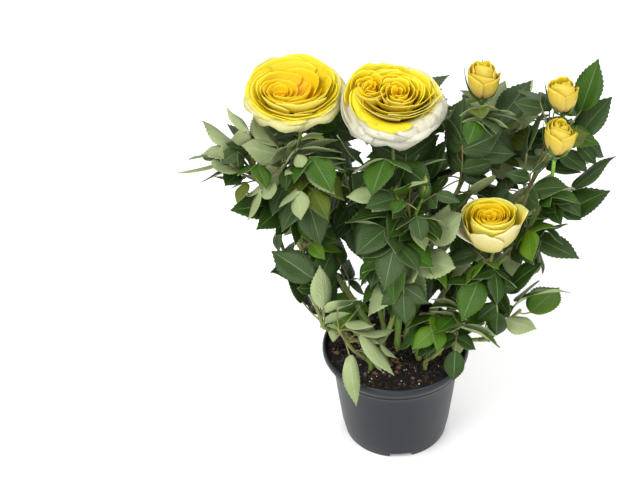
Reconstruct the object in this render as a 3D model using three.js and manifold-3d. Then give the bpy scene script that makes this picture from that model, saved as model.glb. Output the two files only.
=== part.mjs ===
// A potted miniature rose bush with yellow blooms. Millimetres, +Z up.
// The origin is the centre of the pot's flat underside, and the front of the plant faces -Y.
// Stems rise from the soil, each one carries a mass of foliage, and the flowers stand on the masses.
import * as THREE from "three";
import { mergeVertices } from "three/addons/utils/BufferGeometryUtils.js";
import Module from "manifold-3d";

const wasm = await Module();
wasm.setup();

// Driving dimensions
const CLEAR = 0.3; // gap between two neighbouring pieces
const DEGREE = Math.PI / 180;

const POT = {
  height: 90,
  rimRadius: 60,
  footRadius: 43.2,
  wall: 1.2,
  floor: 1.6,
  lipInside: 56.8,
  sides: 28,
};
const NOTCH = { count: 4, first: 6.5, width: 19, height: 4.5, depth: 5 };
const DRAIN = { count: 6, circle: 27, radius: 3.5, sides: 8 };
const SOIL = { top: 84, radius: 56 };

// Leaves: a terminal leaflet and two pairs on a rachis
const LEAFLET = { length: 41, width: 28, thickness: 1.2, widest: 0.42, root: 0.42 };
const RACHIS = { shortest: 22, longest: 42, radius: 1 };
// Degrees of a leaf's stalk foot, its stalk end and its last leaflet against the line from stem to tip
const LEAF_BENDS = [
  [40, 15, -32],
  [-8, 4, 34],
];
const LEAF_SAG = 0.3;
const AIMS = 3; // times that a leaf is aimed until its end meets the tip
const SLACK_REACH = 0.9; // a bent leaf reaches this share of its full length
const SHORTEST_REACH = 40.3; // a tip nearer to the stem than this can't be reached with a bent leaf
const LONGEST_REACH = 91.4; // a tip farther than this needs a side shoot
const PAIRS = [
  { at: 0.86, scale: 0.84, spread: 62 },
  { at: 0.46, scale: 0.66, spread: 72 },
];
const SIZES = [1, 0.82, 0.66]; // a leaf that finds no room is tried again smaller
const BASES = { tried: 6, apart: 9, step: 0.08, last: 0.94, falling: 0.7 }; // from the next places on its stem
const ROLLS = [0, 0.6, -0.6]; // and turned about its own line, in radians
// The fewest leaflets that a leaf may have, and its turns about its foot in degrees, in the order tried
const SHELL_ROUNDS = [{ fewest: 3, swings: [0, 18, -18, 36, -36] }];
const TIP_ROUNDS = [
  { fewest: 3, swings: [0] },
  { fewest: 3, swings: [14, -14] },
  { fewest: 1, swings: [0] },
  { fewest: 3, swings: [28, -28] },
  { fewest: 1, swings: [14, -14, 28, -28] },
];
const BLADE_GAP = 0.9; // half of a leaflet's thickness and the air around it
const ROD_GAP = 0.6;
const SPACE_SLACK = 12; // how far leaves of two masses may reach past each other
const SHELL = { count: 800, deepest: 0.3, leaflets: 345 }; // leaf tips spread through the crown
const GOLDEN_TURN = 0.6180339887;

// The crown's outline: at each height its middle and its reach to the sides and to front and back
const CROWN_LEVELS = [
  { z: 98, middle: [2, 0], reach: [54, 48] },
  { z: 125, middle: [14, 8], reach: [88, 66] },
  { z: 155, middle: [16, 22], reach: [104, 84] },
  { z: 180, middle: [12, 36], reach: [112, 94] },
  { z: 205, middle: [18, 48], reach: [134, 99] },
  { z: 228, middle: [0, 58], reach: [165, 100] },
  { z: 262, middle: [0, 72], reach: [162, 88] },
  { z: 290, middle: [10, 78], reach: [146, 44] },
];
const CROWN_TOP = 290;
const LEAF_ROLL = 0.9; // how far a leaf rolls about its own length, in radians from side to side

const STEM = { sides: 5, step: 18, flare: 0.45, flareHeight: 7 };
const SHOOT = { sides: 4, twigSides: 3, step: 26, radius: 1.2 };

// Each stem: its foot or fork, the points that it passes, and the radii at its two ends
const STEMS = {
  cane_left: { points: [[-25, -16, 107], [-38, -10, 118], [-56, -2, 138], [-69, 5, 167]], radii: [2.3, 1.9] },
  cane_centre: { points: [[-10, -21, 109], [-4, -17, 121], [-1, -13, 134], [0, -9, 149]], radii: [2.2, 1.9] },
  stem_right: {
    points: [[19, -15, SOIL.top + CLEAR], [19, -15, 95], [36, -17, 112], [56, -14, 129], [64, -11, 141]],
    radii: [2.5, 1.8],
  },
  stem_centre: {
    points: [[2, -2, SOIL.top + CLEAR], [2, -2, 96], [5, 11, 150], [3, 23, 188]],
    radii: [2.7, 1.9],
  },
  stem_bud_top: {
    points: [[10, 9, SOIL.top + CLEAR], [10, 9, 96], [28, 34, 158], [44, 46, 194]],
    radii: [2.4, 1.7],
  },
  stem_bud_right: {
    points: [[27, -3, SOIL.top + CLEAR], [27, -3, 96], [62, 9, 142], [88, 14, 168]],
    radii: [2.5, 1.8],
  },
  stem_bud_outer: {
    points: [[20, 6, SOIL.top + CLEAR], [20, 6, 96], [64, 31, 166], [96, 40, 200]],
    radii: [2.4, 1.7],
  },
  stem_far_left: {
    points: [[-18, 5, SOIL.top + CLEAR], [-18, 5, 96], [-48, 17, 147], [-72, 24, 174]],
    radii: [2.4, 1.7],
  },
  stem_back_left: {
    points: [[-10, 15, SOIL.top + CLEAR], [-10, 15, 96], [-22, 38, 134], [-36, 60, 166]],
    radii: [2.3, 1.6],
  },
  stem_back: {
    points: [[1, 22, SOIL.top + CLEAR], [1, 22, 96], [2, 42, 130], [4, 66, 164]],
    radii: [2.3, 1.6],
  },
  stem_back_right: {
    points: [[13, 19, SOIL.top + CLEAR], [13, 19, 96], [28, 42, 130], [46, 63, 162]],
    radii: [2.3, 1.6],
  },
  stem_left_low: {
    points: [[-25, -9, SOIL.top + CLEAR], [-25, -9, 94], [-40, -16, 110], [-52, -20, 120]],
    radii: [2, 1.5],
  },
  stem_front_left: {
    points: [[-20, -29, SOIL.top + CLEAR], [-20, -29, 92], [-24, -32, 100]],
    radii: [1.7, 1.3],
  },
  stem_front_right: {
    points: [[24, -27, SOIL.top + CLEAR], [24, -27, 92], [28, -31, 100]],
    radii: [1.7, 1.3],
  },
  stem_right_low: {
    points: [[36, -9, SOIL.top + CLEAR], [36, -9, 92], [50, -15, 104], [66, -20, 110]],
    radii: [2, 1.5],
  },
  stem_back_low_left: {
    points: [[-25, 19, SOIL.top + CLEAR], [-25, 19, 92], [-34, 30, 102]],
    radii: [2, 1.5],
  },
  stem_back_low: {
    points: [[1, 35, SOIL.top + CLEAR], [1, 35, 92], [2, 44, 102]],
    radii: [2, 1.5],
  },
  stem_back_low_right: {
    points: [[27, 21, SOIL.top + CLEAR], [27, 21, 92], [36, 33, 102]],
    radii: [2, 1.5],
  },
};

// The trunk: an old stump that forks into an arm for each of the first two canes
const TRUNK = {
  foot: [-8, -23, SOIL.top + CLEAR],
  fork: [-11, -22, 95],
  radii: [4.6, 3.2],
  armRadius: 2.5,
  arms: ["cane_left", "cane_centre"],
};

// Each mass of foliage: its stem goes on from a stem's tip, and tips are the leaf ends that make the outline
const MASSES = {
  foliage_left: {
    from: "cane_left",
    path: [[-78, 16, 190], [-82, 30, 212], [-76, 45, 246]],
    tips: [[-118, 78, 261], [-38, 5, 231], [-92, 8, 202], [-23, 46, 280], [-60, 2, 206]],
    seed: 11,
  },
  foliage_centre: {
    from: "cane_centre",
    path: [[8, -5, 168], [6, -1, 190], [14, 4, 210]],
    tips: [[-3, -35, 177], [44, -34, 190], [-30, -12, 222], [-22, -44, 152], [40, -10, 226]],
    seed: 23,
  },
  foliage_right: {
    from: "stem_right",
    path: [[69, -9, 158], [74, -6, 184]],
    tips: [[96, -40, 122], [96, -14, 180], [42, -46, 158], [107, -20, 149]],
    seed: 37,
  },
  foliage_centre_top: {
    from: "stem_centre",
    path: [[0, 35, 222], [-2, 44, 250]],
    tips: [[-32, 34, 262], [44, 34, 262], [30, 6, 246], [26, 96, 286]],
    seed: 41,
  },
  foliage_bud_top: {
    from: "stem_bud_top",
    path: [[57, 54, 224], [65, 61, 252]],
    tips: [[98, 84, 284], [47, 84, 278], [98, 40, 252], [36, 60, 276], [70, 24, 240]],
    seed: 53,
  },
  foliage_bud_right: {
    from: "stem_bud_right",
    path: [[106, 20, 196], [115, 24, 222]],
    tips: [[146, 28, 208], [163, 42, 242], [130, -8, 184], [100, -30, 196]],
    seed: 67,
  },
  foliage_bud_outer: {
    from: "stem_bud_outer",
    path: [[113, 45, 234], [122, 48, 262]],
    tips: [[152, 75, 304], [159, 70, 278], [162, 55, 267], [116, 78, 287], [140, 96, 240]],
    seed: 79,
  },
  foliage_far_left: {
    from: "stem_far_left",
    path: [[-98, 38, 208], [-116, 46, 228]],
    tips: [[-168, 35, 229], [-162, 45, 240], [-154, 64, 257], [-112, 14, 214], [-140, 84, 230]],
    seed: 83,
  },
  foliage_back_left: {
    from: "stem_back_left",
    path: [[-58, 84, 206], [-74, 100, 236]],
    tips: [[-118, 122, 246], [-70, 150, 232], [-30, 120, 262], [-96, 96, 276]],
    seed: 97,
  },
  foliage_back: {
    from: "stem_back",
    path: [[6, 92, 206], [6, 108, 240]],
    tips: [[10, 160, 238], [-24, 138, 200], [30, 118, 264], [-14, 112, 284]],
    seed: 101,
  },
  foliage_back_right: {
    from: "stem_back_right",
    path: [[72, 86, 200], [88, 100, 232]],
    tips: [[132, 118, 240], [92, 146, 222], [64, 128, 264], [126, 96, 198]],
    seed: 113,
  },
  foliage_left_low: {
    from: "stem_left_low",
    path: [[-62, -16, 140], [-74, -8, 166]],
    tips: [[-104, 4, 197], [-57, -20, 178], [-84, -12, 176], [-70, 12, 150]],
    seed: 127,
  },
  foliage_front_left: {
    from: "stem_front_left",
    path: [[-34, -36, 114], [-45, -34, 134]],
    tips: [[-33, -62, 99], [-12, -58, 122]],
    seed: 131,
  },
  foliage_front_right: {
    from: "stem_front_right",
    path: [[36, -34, 112], [52, -27, 134]],
    tips: [[45, -58, 100], [84, -46, 138], [20, -52, 124]],
    seed: 149,
  },
  foliage_right_low: {
    from: "stem_right_low",
    path: [[80, -20, 120], [98, -14, 136]],
    tips: [[135, 0, 150], [112, -34, 140], [128, 24, 130]],
    seed: 151,
  },
  foliage_back_low_left: {
    from: "stem_back_low_left",
    path: [[-54, 54, 118], [-78, 70, 142]],
    tips: [[-116, 98, 170], [-88, 34, 146], [-60, 106, 150]],
    seed: 163,
  },
  foliage_back_low: {
    from: "stem_back_low",
    path: [[3, 70, 118], [2, 94, 140]],
    tips: [[0, 142, 156], [-36, 100, 134], [42, 98, 134]],
    seed: 173,
  },
  foliage_back_low_right: {
    from: "stem_back_low_right",
    path: [[60, 56, 118], [88, 66, 142]],
    tips: [[132, 84, 160], [100, 30, 134], [84, 108, 146]],
    seed: 181,
  },
};

// Petal rings of a bloom, from the outside in: heights and radii as shares of the bloom's radius
const BLOOM_RINGS = [
  { count: 7, start: [0.05, -0.54], middle: [0.72, -0.56], rim: [1.0, -0.06], width: 1.0 },
  { count: 5, start: [0.05, -0.46], middle: [0.66, -0.3], rim: [0.84, 0.2], width: 1.1 },
  { count: 3, start: [0.05, -0.3], middle: [0.5, -0.16], rim: [0.56, 0.36], width: 1.15 },
];
const CUP_RINGS = [
  { count: 5, start: [0.05, -0.8], middle: [0.9, -0.7], rim: [1.08, 0.14], width: 1.25 },
  { count: 3, start: [0.05, -0.7], middle: [0.66, -0.5], rim: [0.72, 0.36], width: 1.25 },
];
const BUD_RINGS = [
  { count: 3, start: [0.2, -0.9], middle: [1.12, -0.5], rim: [0.86, 0.84], width: 1.7 },
];
const PETAL = { thickness: 1.1, across: 2, along: 2, nest: 0.09, rounding: 0.2, foot: 0.12, tightest: 4 };
const SEPAL = { width: 4.2, thickness: 1.2, count: 5 };

// Each flower: the mass that it stands on, its centre, its radius, and the way that it faces
const FLOWERS = {
  rose_left: { on: "foliage_left", centre: [-79, 76, 286], radius: 40, faces: [0.02, -0.22, 1], rings: BLOOM_RINGS },
  rose_centre: {
    on: "foliage_centre_top",
    centre: [-1, 60, 281],
    radius: 43,
    faces: [0.04, -0.34, 1],
    rings: BLOOM_RINGS,
  },
  rose_right: { on: "foliage_right", centre: [72, -3, 211], radius: 26, faces: [0, -0.1, 1], rings: CUP_RINGS },
  bud_top: { on: "foliage_bud_top", centre: [68, 70, 289], radius: 12.5, faces: [0.1, 0.05, 1], rings: BUD_RINGS },
  bud_outer: { on: "foliage_bud_outer", centre: [126, 49, 288], radius: 11.5, faces: [0, 0, 1], rings: BUD_RINGS },
  bud_right: { on: "foliage_bud_right", centre: [123, 30, 262], radius: 12, faces: [0.2, 0, 1], rings: BUD_RINGS },
  bud_small: { on: "foliage_centre", centre: [22, 7, 236], radius: 5.4, faces: [0.1, 0, 1], rings: [] },
};
const BUD_LARGEST = 15; // a flower with a smaller radius is a bud
const BUD_STRETCH = 1.3; // a bud's height against its radius
const STALK_RADIUS = 1.5;
const CORE_SIDES = 7;
const FLOWER_AIR = 3; // air around a flower that leaves keep out of

// Colours and finishes
const COLOURS = {
  pot: new THREE.MeshStandardMaterial({ color: 0x353a3f, roughness: 0.42, metalness: 0 }),
  soil: new THREE.MeshStandardMaterial({ color: 0x2a1e16, roughness: 0.95, metalness: 0 }),
  trunk: new THREE.MeshStandardMaterial({ color: 0x6b5136, roughness: 0.85, metalness: 0 }),
  cane: new THREE.MeshStandardMaterial({ color: 0x5c7a36, roughness: 0.6, metalness: 0 }),
  foliage: new THREE.MeshStandardMaterial({ color: 0x2f5030, roughness: 0.5, metalness: 0 }),
  bloom: new THREE.MeshStandardMaterial({ color: 0xf6d33c, roughness: 0.55, metalness: 0 }),
};

const vector = (xyz) => new THREE.Vector3(...xyz);
const UP = new THREE.Vector3(0, 0, 1);
const BACK = new THREE.Vector3(0, 1, 0);
const MENDS = 4; // how often a joined solid is merged and looked through for hollows
const SLIVER = 0.2; // details smaller than this are smoothed away
const MERGE = 0.001; // flat faces that meet in one plane are merged within this
const STEEP = 0.9; // a limb that starts steeper than this takes its section's corner from the back

// Seeded numbers from 0 to 1
function seededNumbers(seed) {
  let state = seed * 7919;
  return () => {
    state = (Math.imul(state, 1664525) + 1013904223) >>> 0;
    return state / 4294967296;
  };
}

// A closed geometry as a solid that can be joined and cut
function solidOf(geometry) {
  const bare = geometry.clone();
  bare.deleteAttribute("normal");
  bare.deleteAttribute("uv");
  const merged = mergeVertices(bare, MERGE);
  return new wasm.Manifold(
    new wasm.Mesh({
      numProp: 3,
      vertProperties: new Float32Array(merged.attributes.position.array),
      triVerts: new Uint32Array(merged.index.array),
    }),
  );
}

// The largest piece of a solid, without its scraps and slivers and with its sealed hollows filled
function wholePiece(solid) {
  let pieces = solid.decompose();
  for (let pass = 0; pass < MENDS; pass += 1) {
    pieces.sort((one, other) => other.volume() - one.volume());
    pieces = solidOf(geometryOf(pieces[0].simplify(SLIVER))).decompose();
  }
  return pieces.sort((one, other) => other.volume() - one.volume())[0];
}

function geometryOf(solid) {
  const made = solid.getMesh();
  const geometry = new THREE.BufferGeometry();
  geometry.setAttribute("position", new THREE.BufferAttribute(new Float32Array(made.vertProperties), 3));
  geometry.setIndex(new THREE.BufferAttribute(new Uint32Array(made.triVerts), 1));
  return geometry;
}

function meshOf(name, solid, material) {
  const geometry = geometryOf(solid);
  geometry.computeVertexNormals();
  const mesh = new THREE.Mesh(geometry, material.clone());
  mesh.name = name;
  return mesh;
}

function curveThrough(points) {
  return new THREE.CatmullRomCurve3(points, false, "catmullrom", 0.5);
}

// A tapering limb: a cylinder bent along a curve
function limb(curve, radiusAt, sides, steps) {
  const geometry = new THREE.CylinderGeometry(1, 1, 1, sides, steps);
  const towards = Math.abs(curve.getTangentAt(0).z) > STEEP ? BACK : UP;
  const place = geometry.attributes.position;
  for (let i = 0; i < place.count; i += 1) {
    const share = Math.min(1, Math.max(0, place.getY(i) + 0.5));
    const radius = radiusAt(share);
    const point = curve.getPointAt(share);
    const tangent = curve.getTangentAt(share);
    const across = new THREE.Vector3().crossVectors(tangent, towards).normalize();
    const over = new THREE.Vector3().crossVectors(across, tangent);
    point.addScaledVector(across, place.getX(i) * radius);
    point.addScaledVector(over, place.getZ(i) * radius);
    place.setXYZ(i, point.x, point.y, point.z);
  }
  return solidOf(geometry).simplify(MERGE);
}

function stemCurve(name) {
  return curveThrough(STEMS[name].points.map(vector));
}

function taper([start, end]) {
  return (share) => start + (end - start) * share;
}

function makeStem(name) {
  const curve = stemCurve(name);
  const length = curve.getLength();
  const { radii, points } = STEMS[name];
  const rooted = points[0][2] < SOIL.top + 1;
  const flare = rooted ? STEM.flare : 0;
  const radiusAt = (share) =>
    taper(radii)(share) * (1 + flare * Math.exp((-share * length) / STEM.flareHeight));
  return limb(curve, radiusAt, STEM.sides, Math.max(3, Math.round(length / STEM.step)));
}

// The trunk rises from its flat cut to a fork, and each arm ends just short of its cane
function makeTrunk() {
  const foot = vector(TRUNK.foot);
  const fork = vector(TRUNK.fork);
  const low = foot.clone().setZ((foot.z * 2 + fork.z) / 3);
  const bole = curveThrough([foot, low, fork, fork.clone().add(new THREE.Vector3(-0.5, 0.3, 3))]);
  const height = bole.getLength();
  const radiusAt = (share) =>
    taper(TRUNK.radii)(share) * (1 + STEM.flare * Math.exp((-share * height) / STEM.flareHeight));
  const parts = [limb(bole, radiusAt, 8, 4)];
  for (const name of TRUNK.arms) {
    const start = stemCurve(name);
    const end = start.getPoint(0).addScaledVector(start.getTangent(0), -CLEAR);
    const bend = end.clone().addScaledVector(start.getTangent(0), -5);
    const arm = curveThrough([fork.clone().setZ(fork.z - 2), bend, end]);
    parts.push(limb(arm, taper([TRUNK.armRadius, STEMS[name].radii[0]]), STEM.sides, 3));
  }
  return wholePiece(wasm.Manifold.union(parts));
}

function makePot() {
  const { height, rimRadius, footRadius, wall, floor, lipInside, sides } = POT;
  const outside = [
    [footRadius - 0.8, 0],
    [footRadius, 0.8],
    [45.6, 14],
    [50.5, 60],
    [52, 72],
    [53, 73],
    [59.3, 83.5],
    [rimRadius, 85.2],
    [rimRadius - 0.5, 88.2],
    [lipInside + 1, height],
  ];
  const inside = [
    [lipInside, height - 0.6],
    [lipInside, SOIL.top - 1],
    [53 - wall, 73.5],
    [52 - wall, 72],
    [50.5 - wall, 60],
    [45.6 - wall, 14],
    [footRadius - wall + 0.2, floor],
  ];
  const profile = [[0, 0], ...outside, ...inside, [0, floor]].map(([r, z]) => new THREE.Vector2(r, z));
  const turned = new THREE.LatheGeometry(profile, sides).rotateX(Math.PI / 2);
  let pot = solidOf(turned);
  for (let i = 0; i < NOTCH.count; i += 1) {
    const angle = (NOTCH.first - 90 + (360 / NOTCH.count) * i) * DEGREE;
    const cutter = new THREE.BoxGeometry(NOTCH.depth * 2, NOTCH.width, NOTCH.height * 2);
    cutter.translate(footRadius + 1, 0, 0).rotateZ(angle);
    pot = pot.subtract(solidOf(cutter));
  }
  for (let i = 0; i < DRAIN.count; i += 1) {
    const hole = new THREE.CylinderGeometry(DRAIN.radius, DRAIN.radius, floor * 4, DRAIN.sides);
    hole.rotateX(Math.PI / 2).translate(DRAIN.circle, 0, 0).rotateZ((360 / DRAIN.count) * i * DEGREE);
    pot = pot.subtract(solidOf(hole));
  }
  return pot;
}

function makeSoil() {
  const side = POT.wall + 0.5;
  const profile = [
    [0, POT.floor + CLEAR],
    [POT.footRadius - side, POT.floor + CLEAR],
    [45.6 - side, 14],
    [50.5 - side, 60],
    [52 - side, 72],
    [53 - side, 73.9],
    [SOIL.radius, SOIL.top - 0.6],
    [SOIL.radius - 1.2, SOIL.top],
    [0, SOIL.top],
  ].map(([r, z]) => new THREE.Vector2(r, z));
  return solidOf(new THREE.LatheGeometry(profile, 20).rotateX(Math.PI / 2));
}

// A three-sided form that runs through sections and ends in a point, with its ridge along the top
function ridgedForm(sections, end) {
  const steps = sections.length;
  const geometry = new THREE.CylinderGeometry(0, 1, 1, 3, steps);
  const place = geometry.attributes.position;
  for (let i = 0; i < place.count; i += 1) {
    const row = Math.round((place.getY(i) + 0.5) * steps);
    const point = row === steps ? end.clone() : sections[row].centre.clone();
    if (row < steps) {
      const { across, normal, half, ridge } = sections[row];
      const side = Math.sign(Math.round(place.getX(i) * 10));
      const top = place.getZ(i) > 0.9;
      point.addScaledVector(across, side * half);
      point.addScaledVector(normal, top ? ridge : -Math.abs(side) * ridge * 0.5);
    }
    place.setXYZ(i, point.x, point.y, point.z);
  }
  return solidOf(geometry).simplify(MERGE);
}

function sectionAt(centre, along, normal, half, ridge) {
  return { centre, across: new THREE.Vector3().crossVectors(along, normal).normalize(), normal, half, ridge };
}

// The widest section of a blade, and its tip
function bladeEnd({ root, along, normal, length, width }, thickness) {
  const middle = root.clone().addScaledVector(along, length * LEAFLET.widest);
  return {
    widest: sectionAt(middle, along, normal, width / 2, thickness * 0.66),
    tip: root.clone().addScaledVector(along, length),
  };
}

// A leaflet or sepal: it widens from its root and narrows to its tip
function bladeSolid(blade, thickness = LEAFLET.thickness) {
  const { widest, tip } = bladeEnd(blade, thickness);
  const root = sectionAt(blade.root, blade.along, blade.normal, LEAFLET.root, LEAFLET.root);
  return ridgedForm([root, widest], tip);
}

// A leaf's stalk that goes on into its end leaflet
function stalkedBlade({ points, normal, blades }) {
  const { widest, tip } = bladeEnd(blades[0], LEAFLET.thickness);
  const [base, knee, end] = points;
  const sections = [
    sectionAt(base, knee.clone().sub(base), normal, RACHIS.radius * 1.1, RACHIS.radius * 1.1),
    sectionAt(knee, end.clone().sub(base), normal, RACHIS.radius, RACHIS.radius),
    sectionAt(end, blades[0].along, normal, RACHIS.radius * 0.9, RACHIS.radius * 0.9),
    widest,
  ];
  return ridgedForm(sections, tip);
}

function makeBlade(root, along, normal, length, width) {
  const side = new THREE.Vector3().crossVectors(normal, along).normalize();
  const upright = new THREE.Vector3().crossVectors(along, side);
  return { root, along, side, normal: upright, length, width };
}

function corners(blade) {
  const middle = blade.root.clone().addScaledVector(blade.along, blade.length * LEAFLET.widest);
  return [
    blade.root,
    middle.clone().addScaledVector(blade.side, blade.width / 2),
    blade.root.clone().addScaledVector(blade.along, blade.length),
    middle.clone().addScaledVector(blade.side, -blade.width / 2),
  ];
}

// Whether a point above or below a blade lies within its rounded outline and the air around it
function overBlade(blade, point, air) {
  const offset = point.clone().sub(blade.root);
  const along = offset.dot(blade.along);
  if (along < -air || along > blade.length + air) {
    return false;
  }
  const share = Math.min(1, Math.max(0, along / blade.length));
  const half = (blade.width / 2) * Math.sin(Math.PI * share ** 0.8);
  return Math.abs(offset.dot(blade.side)) < half + air;
}

// Whether a straight edge from a to b meets a blade
function edgeMeetsBlade(blade, a, b, air) {
  const heightA = a.clone().sub(blade.root).dot(blade.normal);
  const heightB = b.clone().sub(blade.root).dot(blade.normal);
  if (Math.min(heightA, heightB) > air || Math.max(heightA, heightB) < -air) {
    return false;
  }
  const crossing = heightA === heightB ? 0.5 : Math.min(1, Math.max(0, heightA / (heightA - heightB)));
  for (const share of [crossing, 0, 0.25, 0.5, 0.75, 1]) {
    const height = heightA + (heightB - heightA) * share;
    if (Math.abs(height) < air && overBlade(blade, a.clone().lerp(b, share), air)) {
      return true;
    }
  }
  return false;
}

function bladesMeet(one, other) {
  const reach = one.length + other.length;
  if (one.root.distanceTo(other.root) > reach + BLADE_GAP) {
    return false;
  }
  for (const [moving, fixed] of [[one, other], [other, one]]) {
    const outline = corners(moving);
    for (let i = 0; i < 4; i += 1) {
      if (edgeMeetsBlade(fixed, outline[i], outline[(i + 1) % 4], BLADE_GAP)) {
        return true;
      }
    }
    if (edgeMeetsBlade(fixed, outline[0], outline[2], BLADE_GAP)) {
      return true;
    }
  }
  return false;
}

// The least distance between two straight rods
function rodDistance(one, other) {
  const d1 = one.b.clone().sub(one.a);
  const d2 = other.b.clone().sub(other.a);
  const r = one.a.clone().sub(other.a);
  const a = d1.dot(d1);
  const e = d2.dot(d2);
  const f = d2.dot(r);
  const c = d1.dot(r);
  const b = d1.dot(d2);
  const spread = a * e - b * b;
  let s = spread > 1e-9 ? Math.min(1, Math.max(0, (b * f - c * e) / spread)) : 0;
  let t = (b * s + f) / e;
  if (t < 0 || t > 1) {
    t = Math.min(1, Math.max(0, t));
    s = Math.min(1, Math.max(0, (b * t - c) / a));
  }
  return one.a.clone().addScaledVector(d1, s).distanceTo(other.a.clone().addScaledVector(d2, t));
}

// A curve as straight rods, for the clearance of the leaves around it
function rodsAlong(curve, radius, owner, count) {
  const rods = [];
  for (let i = 0; i < count; i += 1) {
    rods.push({ a: curve.getPointAt(i / count), b: curve.getPointAt((i + 1) / count), radius, owner });
  }
  return rods;
}

function massCurve(name) {
  const { from, path } = MASSES[name];
  const stem = stemCurve(from);
  const start = stem.getPoint(1).addScaledVector(stem.getTangent(1), CLEAR);
  const lead = start.clone().addScaledVector(stem.getTangent(1), 6);
  return curveThrough([start, lead, ...path.map(vector)]);
}

// The lowest point of a flower's head, along its own axis from its centre
function headFoot({ radius, rings }) {
  return rings.length > 0 && radius > BUD_LARGEST ? rings[0].start[1] * radius - radius * 0.1 : -radius * 1.3;
}

// A flower's stalk goes on from its mass's stem and enters the head along the head's own axis
function stalkCurve(flower) {
  const axis = axes.get(flower.on);
  const tangent = axis.getTangent(1);
  const foot = axis.getPoint(1).addScaledVector(tangent, CLEAR);
  const facing = vector(flower.faces).normalize();
  const neck = vector(flower.centre).addScaledVector(facing, headFoot(flower));
  const middle = foot.clone().addScaledVector(tangent, foot.distanceTo(neck) * 0.4);
  return curveThrough([foot, middle, neck]);
}

// What grows has to keep clear of
const growth = { blades: [], rods: [], balls: [] };
const axes = new Map(Object.keys(MASSES).map((name) => [name, massCurve(name)]));
const axisRods = new Map([...axes].map(([name, curve]) => [name, rodsAlong(curve, 1.8, name, 6)]));
for (const [name, plan] of Object.entries(MASSES)) {
  const rods = rodsAlong(stemCurve(plan.from), Math.max(...STEMS[plan.from].radii), plan.from, 8);
  rods.at(-1).owner = name;
  growth.rods.push(...rods);
}
growth.rods.push({ a: vector(TRUNK.foot), b: vector(TRUNK.fork), radius: TRUNK.radii[0], owner: "trunk" });
for (const name of TRUNK.arms) {
  growth.rods.push({ a: vector(TRUNK.fork), b: vector(STEMS[name].points[0]), radius: 3, owner: "trunk" });
}
for (const rods of axisRods.values()) {
  growth.rods.push(...rods);
}
for (const flower of Object.values(FLOWERS)) {
  const stretch = flower.radius < BUD_LARGEST ? BUD_STRETCH : 1;
  growth.balls.push({ centre: vector(flower.centre), radius: flower.radius * stretch + FLOWER_AIR });
  const stalk = rodsAlong(stalkCurve(flower), STALK_RADIUS + CLEAR, "flower", 4);
  stalk[0].owner = flower.on;
  growth.rods.push(...stalk);
}

function distanceToRod(point, rod) {
  const line = new THREE.Line3(rod.a, rod.b);
  return line.closestPointToPoint(point, true, new THREE.Vector3()).distanceTo(point);
}

function distanceToAxis(point, name) {
  return Math.min(...axisRods.get(name).map((rod) => distanceToRod(point, rod)));
}

// A mass keeps to the space that is nearer to its own stem than to any other
function inOwnSpace(point, owner) {
  const own = distanceToAxis(point, owner);
  for (const name of axes.keys()) {
    if (name !== owner && distanceToAxis(point, name) < own - SPACE_SLACK) {
      return false;
    }
  }
  return true;
}

// The crown's middle and reach at a height
function crownAt(z) {
  const last = CROWN_LEVELS.length - 1;
  let row = 0;
  while (row < last - 1 && z > CROWN_LEVELS[row + 1].z) {
    row += 1;
  }
  const low = CROWN_LEVELS[row];
  const high = CROWN_LEVELS[row + 1];
  const share = Math.min(1, Math.max(0, (z - low.z) / (high.z - low.z)));
  const mix = (a, b) => a + (b - a) * share;
  return {
    x: mix(low.middle[0], high.middle[0]),
    y: mix(low.middle[1], high.middle[1]),
    rx: mix(low.reach[0], high.reach[0]),
    ry: mix(low.reach[1], high.reach[1]),
  };
}

function insideCrown(point) {
  if (point.z < CROWN_LEVELS[0].z || point.z > CROWN_TOP) {
    return false;
  }
  const level = crownAt(point.z);
  return Math.hypot((point.x - level.x) / level.rx, (point.y - level.y) / level.ry) < 1.03;
}

function clearOfPot(point) {
  return point.z > POT.height + 1.5 || Math.hypot(point.x, point.y) > POT.rimRadius + 2;
}

// Whether a new blade finds room
function bladeFits(blade, owner, free) {
  const outline = corners(blade);
  const middle = blade.root.clone().addScaledVector(blade.along, blade.length / 2);
  const around = [...outline, middle];
  if (!around.every(clearOfPot) || (!free && !around.every(insideCrown))) {
    return false;
  }
  if (!around.every((point) => inOwnSpace(point, owner))) {
    return false;
  }
  if (growth.balls.some((ball) => around.some((point) => point.distanceTo(ball.centre) < ball.radius))) {
    return false;
  }
  if (growth.rods.some((rod) => edgeMeetsBlade(blade, rod.a, rod.b, rod.radius + ROD_GAP))) {
    return false;
  }
  return !growth.blades.some((other) => bladesMeet(blade, other));
}

function rodFits(rod) {
  if (!clearOfPot(rod.b)) {
    return false;
  }
  if (growth.balls.some((ball) => distanceToRod(ball.centre, rod) < ball.radius)) {
    return false;
  }
  if (growth.blades.some((blade) => edgeMeetsBlade(blade, rod.a, rod.b, rod.radius + ROD_GAP))) {
    return false;
  }
  return !growth.rods.some(
    (other) => other.owner !== rod.owner && rodDistance(rod, other) < rod.radius + other.radius + CLEAR,
  );
}

// Turns a direction up or down in its own upright plane
function tilted(direction, degrees) {
  const level = new THREE.Vector3().crossVectors(direction, UP).normalize();
  return direction.clone().applyAxisAngle(level, degrees * DEGREE);
}

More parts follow.
